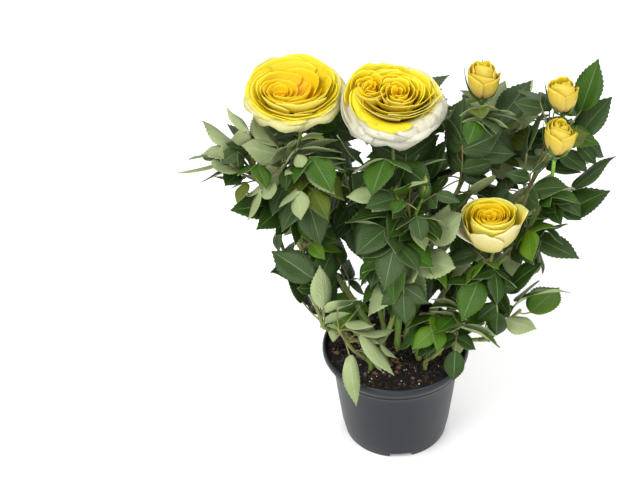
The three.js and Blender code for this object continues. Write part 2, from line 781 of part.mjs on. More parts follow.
// A leaf from base whose terminal leaflet ends at tip: the rachis and the leaflets on it
function planLeaf(base, tip, roll, scale, pairs, bend) {
  const span = tip.clone().sub(base);
  const size = LEAFLET.length * scale;
  const aim = span.clone();
  let rising;
  let onward;
  let drooped;
  let rachis;
  for (let turn = 0; turn < AIMS; turn += 1) {
    const chord = aim.clone().normalize();
    [rising, onward, drooped] = bend.map((degrees) => tilted(chord, degrees));
    const stretch = (rising.dot(chord) + onward.dot(chord)) / 2;
    const room = (span.length() - size * drooped.dot(chord)) / stretch;
    rachis = Math.min(RACHIS.longest, Math.max(RACHIS.shortest, room));
    aim.add(span);
    aim.addScaledVector(rising, -rachis / 2);
    aim.addScaledVector(onward, -rachis / 2);
    aim.addScaledVector(drooped, -size);
  }
  const level = new THREE.Vector3().crossVectors(onward, UP).normalize();
  const normal = new THREE.Vector3().crossVectors(level, onward).applyAxisAngle(onward, roll);
  const knee = base.clone().addScaledVector(rising, rachis * 0.5);
  const end = knee.clone().addScaledVector(onward, rachis * 0.5);
  const along = (share) =>
    share < 0.5 ? base.clone().lerp(knee, share * 2) : knee.clone().lerp(end, share * 2 - 1);
  const ratio = LEAFLET.width / LEAFLET.length;
  const blades = [makeBlade(end, drooped, normal, size, size * ratio)];
  const side = new THREE.Vector3().crossVectors(normal, onward);
  for (const pair of PAIRS.slice(0, pairs)) {
    for (const hand of [-1, 1]) {
      const out = onward.clone().multiplyScalar(Math.cos(pair.spread * DEGREE));
      out.addScaledVector(side, hand * Math.sin(pair.spread * DEGREE));
      out.addScaledVector(normal, -LEAF_SAG).normalize();
      const length = size * pair.scale;
      blades.push(makeBlade(along(pair.at), out, normal, length, length * ratio));
    }
  }
  const rods = [
    { a: base, b: knee, radius: RACHIS.radius },
    { a: knee, b: end, radius: RACHIS.radius },
  ];
  return { points: [base, knee, end], normal, blades, rods };
}

// Tries a leaf in its place and keeps the leaflets that find room
function addLeaf(mass, leaf, fewest, free) {
  for (const rod of leaf.rods) {
    rod.owner = mass.name;
    if (!rodFits(rod)) {
      return false;
    }
  }
  const kept = leaf.blades.filter((blade, order) => bladeFits(blade, mass.name, free && order === 0));
  if (kept.length < fewest || kept[0] !== leaf.blades[0]) {
    return false;
  }
  growth.blades.push(...kept);
  growth.rods.push(...leaf.rods);
  mass.leaves.push({ ...leaf, blades: kept });
  return true;
}

// The points on a mass's stem and shoots from which a leaf best reaches a tip
function nearestBases(mass, tip) {
  const found = [];
  for (const line of mass.lines) {
    for (let share = line.from; share < BASES.last; share += BASES.step) {
      const point = line.curve.getPointAt(share);
      const distance = point.distanceTo(tip);
      if (distance >= SHORTEST_REACH) {
        found.push({ point, cost: distance + Math.max(0, point.z - tip.z) * BASES.falling });
      }
    }
  }
  found.sort((one, other) => one.cost - other.cost);
  const bases = [];
  for (const { point } of found) {
    if (bases.length < BASES.tried && bases.every((base) => base.distanceTo(point) > BASES.apart)) {
      bases.push(point);
    }
  }
  return bases;
}

// A side shoot towards a far tip, so that a leaf can reach it
function addShoot(mass, base, tip) {
  const span = tip.clone().sub(base);
  const length = span.length() - LEAFLET.length - RACHIS.longest * 0.7;
  const rise = tilted(span.clone().normalize(), 16);
  const middle = base.clone().addScaledVector(rise, length * 0.5);
  const end = base.clone().addScaledVector(span.normalize(), length);
  const curve = curveThrough([base, middle, end]);
  const rods = rodsAlong(curve, SHOOT.radius, mass.name, 3);
  if (!rods.every(rodFits)) {
    return false;
  }
  growth.rods.push(...rods);
  mass.lines.push({ curve, from: 0.5 });
  mass.shoots.push(curve);
  return true;
}

// Grows towards one tip: by a side shoot first where the tip is far, then by a leaf
function reachTip(mass, tip, roll, free) {
  let bases = nearestBases(mass, tip);
  if (bases.length === 0) {
    return false;
  }
  if (bases[0].distanceTo(tip) > LONGEST_REACH) {
    addShoot(mass, bases[0], tip);
    bases = nearestBases(mass, tip);
  }
  for (const { fewest, swings } of free ? TIP_ROUNDS : SHELL_ROUNDS) {
    for (const leaf of leafChoices(tip, roll, bases, swings, free)) {
      if (addLeaf(mass, leaf, fewest, free)) {
        return true;
      }
    }
  }
  return false;
}

// The leaves that may reach a tip: largest first, then by bend, foot, turn and roll
function* leafChoices(tip, roll, bases, swings, free) {
  const bends = free ? LEAF_BENDS : LEAF_BENDS.slice(0, 1);
  const rolls = free ? ROLLS : ROLLS.slice(0, 1);
  for (const scale of SIZES) {
    const longest = (LEAFLET.length * scale + RACHIS.longest) * SLACK_REACH;
    for (const bend of bends) {
      for (const base of bases) {
        for (const swing of swings) {
          const span = tip.clone().sub(base).applyAxisAngle(UP, swing * DEGREE);
          const end = span.setLength(Math.min(span.length(), longest)).add(base);
          for (const more of rolls) {
            yield planLeaf(base, end, roll + more, scale, free ? PAIRS.length : 1, bend);
          }
        }
      }
    }
  }
}

// Leaf tips spread evenly through the crown by a golden-turn rule, the outer ones first
function shellTips() {
  const low = CROWN_LEVELS[0].z;
  const tips = [];
  for (let i = 0; i < SHELL.count; i += 1) {
    const z = low + (CROWN_TOP - low) * ((0.5 + i * GOLDEN_TURN * 1.7) % 1);
    const angle = 2 * Math.PI * ((i * GOLDEN_TURN) % 1);
    const share = 1 - (1 - SHELL.deepest) * (i / SHELL.count);
    const level = crownAt(z);
    tips.push(
      new THREE.Vector3(
        level.x + level.rx * share * Math.cos(angle),
        level.y + level.ry * share * Math.sin(angle),
        z,
      ),
    );
  }
  return tips;
}

function ownerOf(point) {
  let nearest = null;
  let least = Infinity;
  for (const name of axes.keys()) {
    const distance = distanceToAxis(point, name);
    if (distance < least) {
      least = distance;
      nearest = name;
    }
  }
  return nearest;
}

// All masses: the leaves of the named tips come first, then those of the crown's shell
function growMasses() {
  const masses = new Map();
  for (const [name, plan] of Object.entries(MASSES)) {
    const curve = axes.get(name);
    const mass = { name, curve, leaves: [], shoots: [], lines: [{ curve, from: 0.12 }] };
    mass.draw = seededNumbers(plan.seed);
    masses.set(name, mass);
    for (const tip of plan.tips) {
      reachTip(mass, vector(tip), (mass.draw() - 0.5) * LEAF_ROLL, true);
    }
  }
  for (const tip of shellTips()) {
    const mass = masses.get(ownerOf(tip));
    reachTip(mass, tip, (mass.draw() - 0.5) * LEAF_ROLL, false);
    if (growth.blades.length >= SHELL.leaflets) {
      break;
    }
  }
  return masses;
}

function makeMass(mass) {
  const startRadius = STEMS[MASSES[mass.name].from].radii[1];
  const steps = Math.max(3, Math.round(mass.curve.getLength() / SHOOT.step));
  const parts = [limb(mass.curve, taper([startRadius, 1.3]), SHOOT.sides, steps)];
  for (const shoot of mass.shoots) {
    parts.push(limb(shoot, taper([SHOOT.radius * 1.2, SHOOT.radius]), SHOOT.twigSides, 2));
  }
  for (const leaf of mass.leaves) {
    parts.push(stalkedBlade(leaf));
    parts.push(...leaf.blades.slice(1).map((blade) => bladeSolid(blade)));
  }
  return wholePiece(wasm.Manifold.union(parts));
}

// A closed shell over a grid: pointAt gives each place on its outer side, 1, and its inner side, -1
function shellSolid(columns, rows, pointAt) {
  const grid = new THREE.PlaneGeometry(1, 1, columns, rows);
  const { uv } = grid.attributes;
  const front = [...grid.index.array];
  const index = [...front];
  for (let t = 0; t < front.length; t += 3) {
    index.push(front[t] + uv.count, front[t + 2] + uv.count, front[t + 1] + uv.count);
  }
  const places = [];
  for (const side of [1, -1]) {
    for (let i = 0; i < uv.count; i += 1) {
      places.push(...pointAt(uv.getX(i), uv.getY(i), side));
    }
  }
  const wide = columns + 1;
  const border = [];
  for (let column = 0; column < columns; column += 1) {
    border.push(column);
  }
  for (let row = 0; row < rows; row += 1) {
    border.push(row * wide + columns);
  }
  for (let column = columns; column > 0; column -= 1) {
    border.push(rows * wide + column);
  }
  for (let row = rows; row > 0; row -= 1) {
    border.push(row * wide);
  }
  border.forEach((from, order) => {
    const to = border[(order + 1) % border.length];
    index.push(from, to, to + uv.count, from, to + uv.count, from + uv.count);
  });
  const geometry = new THREE.BufferGeometry();
  geometry.setAttribute("position", new THREE.BufferAttribute(new Float32Array(places), 3));
  geometry.setIndex(index);
  return solidOf(geometry);
}

// One petal: a shell wrapped round the flower's axis and swept up its ring's curve
function petalSolid(ring, angle, scale) {
  const sweep = new THREE.QuadraticBezierCurve(
    new THREE.Vector2(...ring.start),
    new THREE.Vector2(...ring.middle),
    new THREE.Vector2(...ring.rim),
  );
  return shellSolid(PETAL.across, PETAL.along, (u, share, side) => {
    const across = u * 2 - 1;
    const rounded = share * (1 - PETAL.rounding * across * across);
    const spot = sweep.getPoint(rounded).multiplyScalar(scale);
    const slope = sweep.getTangent(rounded);
    const thick = (side * PETAL.thickness) / 2;
    const radius = spot.x + slope.y * thick;
    const widening = PETAL.foot + (1 - PETAL.foot) * Math.sin(Math.min(1, share * 1.2) * 0.5 * Math.PI);
    const turn = angle + (across * ring.width * scale * widening) / 2 / Math.max(spot.x, PETAL.tightest);
    return [radius * Math.cos(turn), radius * Math.sin(turn), spot.y - slope.x * thick];
  });
}

function lathed(profile, sides) {
  const points = profile.map(([r, z]) => new THREE.Vector2(r, z));
  return solidOf(new THREE.LatheGeometry(points, sides).rotateX(Math.PI / 2));
}

function makeFlower(name) {
  const { centre, radius, faces, rings } = FLOWERS[name];
  const isBud = radius < BUD_LARGEST;
  const parts = [];
  rings.forEach((ring, order) => {
    for (let i = 0; i < ring.count; i += 1) {
      const angle = (2 * Math.PI * (i + order * 0.5)) / ring.count;
      const nested = PETAL.nest * ((i * GOLDEN_TURN) % 1);
      parts.push(petalSolid(ring, angle, radius * (1 - nested)));
    }
  });
  const low = isBud ? -radius * 1.05 : rings[0].start[1] * radius;
  const core = isBud
    ? [
        [0, low - radius * 0.5],
        [radius * 0.34, low - radius * 0.3],
        [radius * 0.4, low + radius * 0.1],
        [radius * 0.96, -radius * 0.2],
        [radius * 0.72, radius * 0.7],
        [0, radius * BUD_STRETCH],
      ]
    : [
        [0, low - radius * 0.24],
        [radius * 0.13, low - radius * 0.16],
        [radius * 0.16, low - radius * 0.04],
        [radius * 0.56, low * 0.72],
        [radius * 0.62, low * 0.3],
        [radius * 0.4, radius * 0.16],
        [0, radius * 0.22],
      ];
  parts.push(lathed(core, CORE_SIDES));
  const calyx = isBud ? radius * 0.4 : radius * 0.16;
  for (let i = 0; i < SEPAL.count; i += 1) {
    const angle = ((i + 0.3) * 2 * Math.PI) / SEPAL.count;
    const lift = isBud ? 1.15 : 0.1;
    const out = new THREE.Vector3(Math.cos(angle) * Math.cos(lift), Math.sin(angle) * Math.cos(lift), Math.sin(lift));
    const inward = new THREE.Vector3(-Math.cos(angle), -Math.sin(angle), 0.6);
    const root = new THREE.Vector3(Math.cos(angle) * calyx * 0.4, Math.sin(angle) * calyx * 0.4, low);
    const blade = makeBlade(root, out, inward, isBud ? radius * 1.9 : radius * 0.5, isBud ? SEPAL.width : 6);
    parts.push(bladeSolid(blade, SEPAL.thickness));
  }
  const facing = vector(faces).normalize();
  const turn = new THREE.Quaternion().setFromUnitVectors(UP, facing);
  const placed = new THREE.Matrix4().compose(vector(centre), turn, new THREE.Vector3(1, 1, 1));
  const head = wasm.Manifold.union(parts).transform(placed.toArray());
  const stalk = limb(stalkCurve(FLOWERS[name]), taper([STALK_RADIUS * 0.85, STALK_RADIUS]), 5, 3);
  return wholePiece(wasm.Manifold.union([head, stalk]));
}

const bush = new THREE.Group();
bush.add(meshOf("pot", makePot(), COLOURS.pot));
bush.add(meshOf("soil", makeSoil(), COLOURS.soil));
bush.add(meshOf("trunk", makeTrunk(), COLOURS.trunk));
for (const name of Object.keys(STEMS)) {
  bush.add(meshOf(name, makeStem(name), COLOURS.cane));
}
for (const [name, mass] of growMasses()) {
  bush.add(meshOf(name, makeMass(mass), COLOURS.foliage));
}
for (const name of Object.keys(FLOWERS)) {
  bush.add(meshOf(name, makeFlower(name), COLOURS.bloom));
}

export default bush;
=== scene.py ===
"""A potted miniature rose bush with yellow blooms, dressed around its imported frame.

The plant's own sizes are in millimetres and the scene is in metres. +Z is up and the front faces -Y.
Stems rise from the soil, each carries a mass of foliage grown by a seeded rule, and the flowers stand on them.
"""

import logging
import math
from collections.abc import Iterable, Sequence
from dataclasses import dataclass, field, replace
from enum import Enum
from itertools import pairwise, product

import bpy
import numpy as np
from mathutils import Matrix, Vector


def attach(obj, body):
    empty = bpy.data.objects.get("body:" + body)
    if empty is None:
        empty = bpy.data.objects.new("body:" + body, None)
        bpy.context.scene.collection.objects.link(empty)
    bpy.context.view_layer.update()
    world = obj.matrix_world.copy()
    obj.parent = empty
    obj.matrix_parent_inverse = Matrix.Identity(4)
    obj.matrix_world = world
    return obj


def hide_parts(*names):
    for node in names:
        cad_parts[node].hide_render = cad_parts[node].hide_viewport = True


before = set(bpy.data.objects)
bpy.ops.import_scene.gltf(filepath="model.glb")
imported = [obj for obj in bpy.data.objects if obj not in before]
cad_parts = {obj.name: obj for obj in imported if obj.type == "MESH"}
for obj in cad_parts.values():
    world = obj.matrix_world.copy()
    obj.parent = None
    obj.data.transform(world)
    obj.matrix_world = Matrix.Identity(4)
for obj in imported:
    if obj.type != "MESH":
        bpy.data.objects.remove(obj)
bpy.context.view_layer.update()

MM = 0.001
UP = np.array([0.0, 0.0, 1.0])
RIGHT = np.array([1.0, 0.0, 0.0])
ANY_WAY = np.array([0.31, 0.86, 0.21])
PHASES = (0, 6.3)
GOLDEN_TURN = 0.6180339887
log = logging.getLogger("rose_bush")

Pair = tuple[float, float]
Point = tuple[float, float, float]
Colour = tuple[float, float, float, float]


class Slot(Enum):
    """The record's material slots."""

    POT = "pot"
    SOIL = "soil"
    TRUNK = "trunk"
    STEMS = "stems"
    FOLIAGE = "foliage"
    FLOWERS = "flowers"


def unit(vector: np.ndarray) -> np.ndarray:
    """The same direction with length 1."""
    return vector / np.linalg.norm(vector)


def dot(one: np.ndarray, other: np.ndarray) -> np.ndarray:
    """Dot products over the last axis."""
    return (one * other).sum(-1)


def turned(vector: np.ndarray, axis: np.ndarray, degrees: float) -> np.ndarray:
    """Turns a vector about a unit axis.

    Args:
        vector: What is turned.
        axis: Unit axis.
        degrees: Right-hand angle.

    Returns:
        The turned vector.
    """
    angle = math.radians(degrees)
    level = vector * math.cos(angle) + np.cross(axis, vector) * math.sin(angle)
    return level + axis * dot(axis, vector) * (1 - math.cos(angle))


def tilted(direction: np.ndarray, degrees: float) -> np.ndarray:
    """Turns a unit direction up (positive) or down in its own upright plane."""
    return turned(direction, unit(np.cross(direction, UP)), degrees)


class SeededNumbers:
    """Numbers from 0 to 1 in an order that the seed fixes."""

    SEED_STEP = 7919
    FACTOR = 1664525
    ADDED = 1013904223
    SPAN = 2**32

    def __init__(self, seed: int) -> None:
        """Starts the order at a seed."""
        self.state = seed * self.SEED_STEP

    def draw(self) -> float:
        """The next number from 0 to 1."""
        self.state = (self.state * self.FACTOR + self.ADDED) % self.SPAN
        return self.state / self.SPAN

    def between(self, low: float, high: float) -> float:
        """The next number from low to high."""
        return low + (high - low) * self.draw()


class Curve:
    """A smooth curve through points, read by its share of the length."""

    DIVISIONS = 200
    SMALL_STEP = 0.0001

    def __init__(self, points: Sequence[Sequence[float]]) -> None:
        """Measures the curve through the given points."""
        self.points = np.array(points, float)
        first = 2 * self.points[0] - self.points[1]
        last = 2 * self.points[-1] - self.points[-2]
        self.padded = np.vstack([first, self.points, last])
        self.steps = np.linspace(0, 1, self.DIVISIONS + 1)
        spots = self.point(self.steps)
        gaps = np.linalg.norm(np.diff(spots, axis=0), axis=1)
        self.lengths = np.concatenate([[0], np.cumsum(gaps)])

    @property
    def length(self) -> float:
        """Length of the whole curve."""
        return float(self.lengths[-1])

    def point(self, t: np.ndarray | float) -> np.ndarray:
        """Points at raw parameters, where each stretch between two given points counts alike."""
        along = np.atleast_1d(np.asarray(t, float)) * (len(self.points) - 1)
        row = np.minimum(along.astype(int), len(self.points) - 2)
        weight = (along - row)[:, None]
        p0, p1, p2, p3 = (self.padded[row + k] for k in range(4))
        t0 = (p2 - p0) / 2
        t1 = (p3 - p1) / 2
        square = -3 * p1 + 3 * p2 - 2 * t0 - t1
        cube = 2 * p1 - 2 * p2 + t0 + t1
        spots = p1 + t0 * weight + square * weight**2 + cube * weight**3
        return spots if np.ndim(t) else spots[0]

    def raw(self, share: np.ndarray | float) -> np.ndarray:
        """Raw parameters at shares of the length."""
        return np.interp(np.asarray(share, float) * self.length, self.lengths, self.steps)

    def at(self, share: np.ndarray | float) -> np.ndarray:
        """Points at shares of the length."""
        return self.point(self.raw(share))

    def tangent(self, t: np.ndarray | float) -> np.ndarray:
        """Unit tangents at raw parameters."""
        t = np.asarray(t, float)
        step = self.point(np.minimum(1, t + self.SMALL_STEP)) - self.point(np.maximum(0, t - self.SMALL_STEP))
        return step / np.linalg.norm(step, axis=-1, keepdims=True)

    def tangent_at(self, share: np.ndarray | float) -> np.ndarray:
        """Unit tangents at shares of the length."""
        return self.tangent(self.raw(share))


@dataclass(frozen=True)
class StemPlan:
    """A stem: the points that it passes, in millimetres, and the radii at its two ends."""

    points: tuple[Point, ...]
    radii: Pair


@dataclass(frozen=True)
class MassPlan:
    """A mass of foliage: the stem that carries it, its seed, its own axis and its outline's leaf tips."""

    stem: str
    seed: int
    path: tuple[Point, ...]
    tips: tuple[Point, ...]


@dataclass(frozen=True)
class FlowerPlan:
    """A flower: its mass, its centre, its radius, the way that it faces, and how many radii off its foot is."""

    mass: str
    centre: Point
    radius: float
    faces: Point
    foot: float


CLEAR = 0.3
AXIS_LEAD = 6
STALK_LEAD = 0.4
POT_HEIGHT = 90.0
POT_RIM = 60.0
SOIL_TOP = 84.0
SOIL_RADIUS = 56.0
ROOTED = SOIL_TOP + CLEAR


def rooted(x: float, y: float, straight_to: float, radii: Pair, *path: Point) -> StemPlan:
    """A stem that rises straight from the soil at a place up to a height, and then follows a path."""
    return StemPlan(((x, y, ROOTED), (x, y, straight_to), *path), radii)


STEMS = {
    "cane_left": StemPlan(((-25, -16, 107), (-38, -10, 118), (-56, -2, 138), (-69, 5, 167)), (2.3, 1.9)),
    "cane_centre": StemPlan(((-10, -21, 109), (-4, -17, 121), (-1, -13, 134), (0, -9, 149)), (2.2, 1.9)),
    "stem_right": rooted(19, -15, 95, (2.5, 1.8), (36, -17, 112), (56, -14, 129), (64, -11, 141)),
    "stem_centre": rooted(2, -2, 96, (2.7, 1.9), (5, 11, 150), (3, 23, 188)),
    "stem_bud_top": rooted(10, 9, 96, (2.4, 1.7), (28, 34, 158), (44, 46, 194)),
    "stem_bud_right": rooted(27, -3, 96, (2.5, 1.8), (62, 9, 142), (88, 14, 168)),
    "stem_bud_outer": rooted(20, 6, 96, (2.4, 1.7), (64, 31, 166), (96, 40, 200)),
    "stem_far_left": rooted(-18, 5, 96, (2.4, 1.7), (-48, 17, 147), (-72, 24, 174)),
    "stem_back_left": rooted(-10, 15, 96, (2.3, 1.6), (-22, 38, 134), (-36, 60, 166)),
    "stem_back": rooted(1, 22, 96, (2.3, 1.6), (2, 42, 130), (4, 66, 164)),
    "stem_back_right": rooted(13, 19, 96, (2.3, 1.6), (28, 42, 130), (46, 63, 162)),
    "stem_left_low": rooted(-25, -9, 94, (2, 1.5), (-40, -16, 110), (-52, -20, 120)),
    "stem_front_left": rooted(-20, -29, 92, (1.7, 1.3), (-24, -32, 100)),
    "stem_front_right": rooted(24, -27, 92, (1.7, 1.3), (28, -31, 100)),
    "stem_right_low": rooted(36, -9, 92, (2, 1.5), (50, -15, 104), (66, -20, 110)),
    "stem_back_low_left": rooted(-25, 19, 92, (2, 1.5), (-34, 30, 102)),
    "stem_back_low": rooted(1, 35, 92, (2, 1.5), (2, 44, 102)),
    "stem_back_low_right": rooted(27, 21, 92, (2, 1.5), (36, 33, 102)),
}
TRUNK_FOOT = (-8, -23, ROOTED)
TRUNK_FORK = (-11, -22, 95)
TRUNK_RADII = (4.6, 3.2)
TRUNK_ARM_RADIUS = 2.5
TRUNK_ARM_ROOM = 3.0
TRUNK_ARMS = ("cane_left", "cane_centre")

MASSES = {
    f"foliage_{place}": MassPlan(*plan)
    for place, *plan in (
        ("left", "cane_left", 11, ((-78, 16, 190), (-82, 30, 212), (-76, 45, 246)),
         ((-118, 78, 261), (-38, 5, 231), (-92, 8, 202), (-23, 46, 280), (-60, 2, 206))),
        ("centre", "cane_centre", 23, ((8, -5, 168), (6, -1, 190), (14, 4, 210)),
         ((-3, -35, 177), (44, -34, 190), (-30, -12, 222), (-22, -44, 152), (40, -10, 226))),
        ("right", "stem_right", 37, ((69, -9, 158), (74, -6, 184)),
         ((96, -40, 122), (96, -14, 180), (42, -46, 158), (107, -20, 149))),
        ("centre_top", "stem_centre", 41, ((0, 35, 222), (-2, 44, 250)),
         ((-32, 34, 262), (44, 34, 262), (30, 6, 246), (26, 96, 286))),
        ("bud_top", "stem_bud_top", 53, ((57, 54, 224), (65, 61, 252)),
         ((98, 84, 284), (47, 84, 278), (98, 40, 252), (36, 60, 276), (70, 24, 240))),
        ("bud_right", "stem_bud_right", 67, ((106, 20, 196), (115, 24, 222)),
         ((146, 28, 208), (163, 42, 242), (130, -8, 184), (100, -30, 196))),
        ("bud_outer", "stem_bud_outer", 79, ((113, 45, 234), (122, 48, 262)),
         ((152, 75, 304), (159, 70, 278), (162, 55, 267), (116, 78, 287), (140, 96, 240))),
        ("far_left", "stem_far_left", 83, ((-98, 38, 208), (-116, 46, 228)),
         ((-168, 35, 229), (-162, 45, 240), (-154, 64, 257), (-112, 14, 214), (-140, 84, 230))),
        ("back_left", "stem_back_left", 97, ((-58, 84, 206), (-74, 100, 236)),
         ((-118, 122, 246), (-70, 150, 232), (-30, 120, 262), (-96, 96, 276))),
        ("back", "stem_back", 101, ((6, 92, 206), (6, 108, 240)),
         ((10, 160, 238), (-24, 138, 200), (30, 118, 264), (-14, 112, 284))),
        ("back_right", "stem_back_right", 113, ((72, 86, 200), (88, 100, 232)),
         ((132, 118, 240), (92, 146, 222), (64, 128, 264), (126, 96, 198))),
        ("left_low", "stem_left_low", 127, ((-62, -16, 140), (-74, -8, 166)),
         ((-104, 4, 197), (-57, -20, 178), (-84, -12, 176), (-70, 12, 150))),
        ("front_left", "stem_front_left", 131, ((-34, -36, 114), (-45, -34, 134)), ((-33, -62, 99), (-12, -58, 122))),
        ("front_right", "stem_front_right", 149, ((36, -34, 112), (52, -27, 134)),
         ((45, -58, 100), (84, -46, 138), (20, -52, 124))),
        ("right_low", "stem_right_low", 151, ((80, -20, 120), (98, -14, 136)),
         ((135, 0, 150), (112, -34, 140), (128, 24, 130))),
        ("back_low_left", "stem_back_low_left", 163, ((-54, 54, 118), (-78, 70, 142)),
         ((-116, 98, 170), (-88, 34, 146), (-60, 106, 150))),
        ("back_low", "stem_back_low", 173, ((3, 70, 118), (2, 94, 140)),
         ((0, 142, 156), (-36, 100, 134), (42, 98, 134))),
        ("back_low_right", "stem_back_low_right", 181, ((60, 56, 118), (88, 66, 142)),
         ((132, 84, 160), (100, 30, 134), (84, 108, 146))),
    )
}

FLOWERS = {
    "rose_left": FlowerPlan("foliage_left", (-79, 76, 286), 40, (0.02, -0.22, 1), -0.64),
    "rose_centre": FlowerPlan("foliage_centre_top", (-1, 60, 281), 43, (0.04, -0.34, 1), -0.64),
    "rose_right": FlowerPlan("foliage_right", (72, -3, 211), 26, (0, -0.1, 1), -0.9),
    "bud_top": FlowerPlan("foliage_bud_top", (68, 70, 289), 12.5, (0.1, 0.05, 1), -1.3),
    "bud_outer": FlowerPlan("foliage_bud_outer", (126, 49, 288), 11.5, (0, 0, 1), -1.3),
    "bud_right": FlowerPlan("foliage_bud_right", (123, 30, 262), 12, (0.2, 0, 1), -1.3),
    "bud_small": FlowerPlan("foliage_centre", (22, 7, 236), 5.4, (0.1, 0, 1), -1.3),
}


BUD_LARGEST = 15.0
BUD_STRETCH = 1.3
CROWN_TOP = 290.0
CROWN_LEVELS = (
    (98, 2, 0, 54, 48), (125, 14, 8, 88, 66), (155, 16, 22, 104, 84), (180, 12, 36, 112, 94),
    (205, 18, 48, 134, 99), (228, 0, 58, 165, 100), (262, 0, 72, 162, 88), (290, 10, 78, 146, 44),
)


@dataclass(frozen=True)
class LeafShape:
    """Sizes of a compound leaf as the growth rule lays it out, in millimetres and degrees."""

    length: float = 41
    width: float = 28
    shortest: float = 22
    longest: float = 42
    stalk_radius: float = 1
    bends: tuple[Point, ...] = ((40, 15, -32), (-8, 4, 34))
    sag: float = 0.3
    aims: int = 3
    pairs: tuple[Point, ...] = ((0.86, 0.84, 62), (0.46, 0.66, 72))


WAIST = 0.42


@dataclass
class Blade:
    """One leaflet's place: its root, its directions, its length and its width."""

    root: np.ndarray
    along: np.ndarray
    side: np.ndarray
    normal: np.ndarray
    length: float
    width: float

    @classmethod
    def towards(
        cls, root: np.ndarray, along: np.ndarray, normal: np.ndarray, length: float, width: float
    ) -> "Blade":
        """A blade from a root along a direction, its upper face towards normal."""
        side = unit(np.cross(normal, along))
        return cls(root, along, side, np.cross(along, side), length, width)

    @property
    def middle(self) -> np.ndarray:
        """Half-way from its root to its tip."""
        return self.root + self.along * self.length / 2

    def outline(self) -> np.ndarray:
        """Root, one side, tip and other side."""
        middle = self.root + self.along * self.length * WAIST
        half = self.side * self.width / 2
        return np.array([self.root, middle + half, self.root + self.along * self.length, middle - half])


@dataclass
class Leaf:
    """A compound leaf: its stalk's three points, its upper side and its leaflets."""

    points: np.ndarray
    normal: np.ndarray
    blades: list[Blade]


class Rows:
    """Rows of numbers that grow, kept as arrays."""

    def __init__(self, **widths: int) -> None:
        """Names each column block with its width."""
        self.count = 0
        self.data = {key: np.zeros((256, width)) for key, width in widths.items()}

    def add(self, **values: object) -> None:
        """Adds one row."""
        if self.count == len(next(iter(self.data.values()))):
            self.data = {key: np.vstack([rows, np.zeros_like(rows)]) for key, rows in self.data.items()}
        for key, value in values.items():
            self.data[key][self.count] = value
        self.count += 1

    def __getitem__(self, key: str) -> np.ndarray:
        """The filled rows of one block."""
        return self.data[key][: self.count]


EDGE_SHARES = (0, 0.25, 0.5, 0.75, 1)
TINY = 1e-9
LEVEL = 1e-12


def edges_meet(
    fixed: dict[str, np.ndarray | float], a: np.ndarray, b: np.ndarray, air: np.ndarray | float
) -> np.ndarray:
    """Whether straight edges from a to b come within air of blades.

    Args:
        fixed: The blades' root, along, side, normal, length and width, as arrays that fit the edges.
        a: Starts of the edges.
        b: Ends of the edges.
        air: The air to keep.

    Returns:
        True for each edge that meets its blade.
    """
    air = np.asarray(air, float)
    low = dot(a - fixed["root"], fixed["normal"])
    high = dot(b - fixed["root"], fixed["normal"])
    level = np.abs(low - high) < LEVEL
    crossing = np.where(level, 0.5, np.clip(low / np.where(level, 1, low - high), 0, 1))
    shares = np.stack([crossing, *(np.full_like(crossing, share) for share in EDGE_SHARES)], -1)
    height = low[..., None] + (high - low)[..., None] * shares
    spots = a[..., None, :] + (b - a)[..., None, :] * shares[..., None]
    offset = spots - fixed["root"][..., None, :]
    along = dot(offset, fixed["along"][..., None, :])
    length, width = (np.asarray(fixed[key])[..., None] for key in ("length", "width"))
    share = np.clip(along / length, 0, 1)
    half = width / 2 * np.sin(np.pi * share**0.8)
    over = (along > -air[..., None]) & (along < length + air[..., None])
    over &= np.abs(dot(offset, fixed["side"][..., None, :])) < half + air[..., None]
    touched = (over & (np.abs(height) < air[..., None])).any(-1)
    return touched & (np.minimum(low, high) <= air) & (np.maximum(low, high) >= -air)


def rods_apart(a: np.ndarray, b: np.ndarray, starts: np.ndarray, ends: np.ndarray) -> np.ndarray:
    """Least distances between one straight rod and others.

    Args:
        a: Start of the one rod.
        b: End of the one rod.
        starts: Starts of the others.
        ends: Ends of the others.

    Returns:
        A distance for each other rod.
    """
    one = b - a
    other = ends - starts
    offset = a - starts
    one_square = dot(one, one)
    other_square = np.maximum(dot(other, other), TINY)
    across = dot(other, offset)
    forward = dot(one, offset)
    both = dot(other, one)
    spread = one_square * other_square - both * both
    parallel = spread <= TINY
    s = (both * across - forward * other_square) / np.where(parallel, 1, spread)
    s = np.where(parallel, 0, np.clip(s, 0, 1))
    t = (both * s + across) / other_square
    outside = (t < 0) | (t > 1)
    t = np.clip(t, 0, 1)
    s = np.where(outside, np.clip((both * t - forward) / one_square, 0, 1), s)
    return np.linalg.norm(a + one * s[..., None] - starts - other * t[..., None], axis=-1)


@dataclass(frozen=True)
class FinerPass:
    """A later pass of the rule, which fills the room between the first leaves with smaller ones."""

    tips: int
    first: float
    deepest: float
    gap: float
    fewest: int
    sizes: tuple[float, ...]
    swings: tuple[float, ...]
    bases: int
    nearest: float
    stalk: float


FINER_PASSES = (
    FinerPass(700, 0.2, 0.3, 0.5, 3, (0.82, 0.66), (0, 24, -24), 4, 34, 16),
    FinerPass(1500, 0.7, 0.12, 0.4, 2, (0.6, 0.46), (0, 30, -30), 3, 24, 12),
)


@dataclass
class Mass:
    """A growing mass of foliage."""

    name: str
    owner: int
    curve: Curve
    numbers: SeededNumbers
    leaves: list[Leaf] = field(default_factory=list)
    shoots: list[Curve] = field(default_factory=list)
    lines: list[tuple[Curve, float]] = field(default_factory=list)


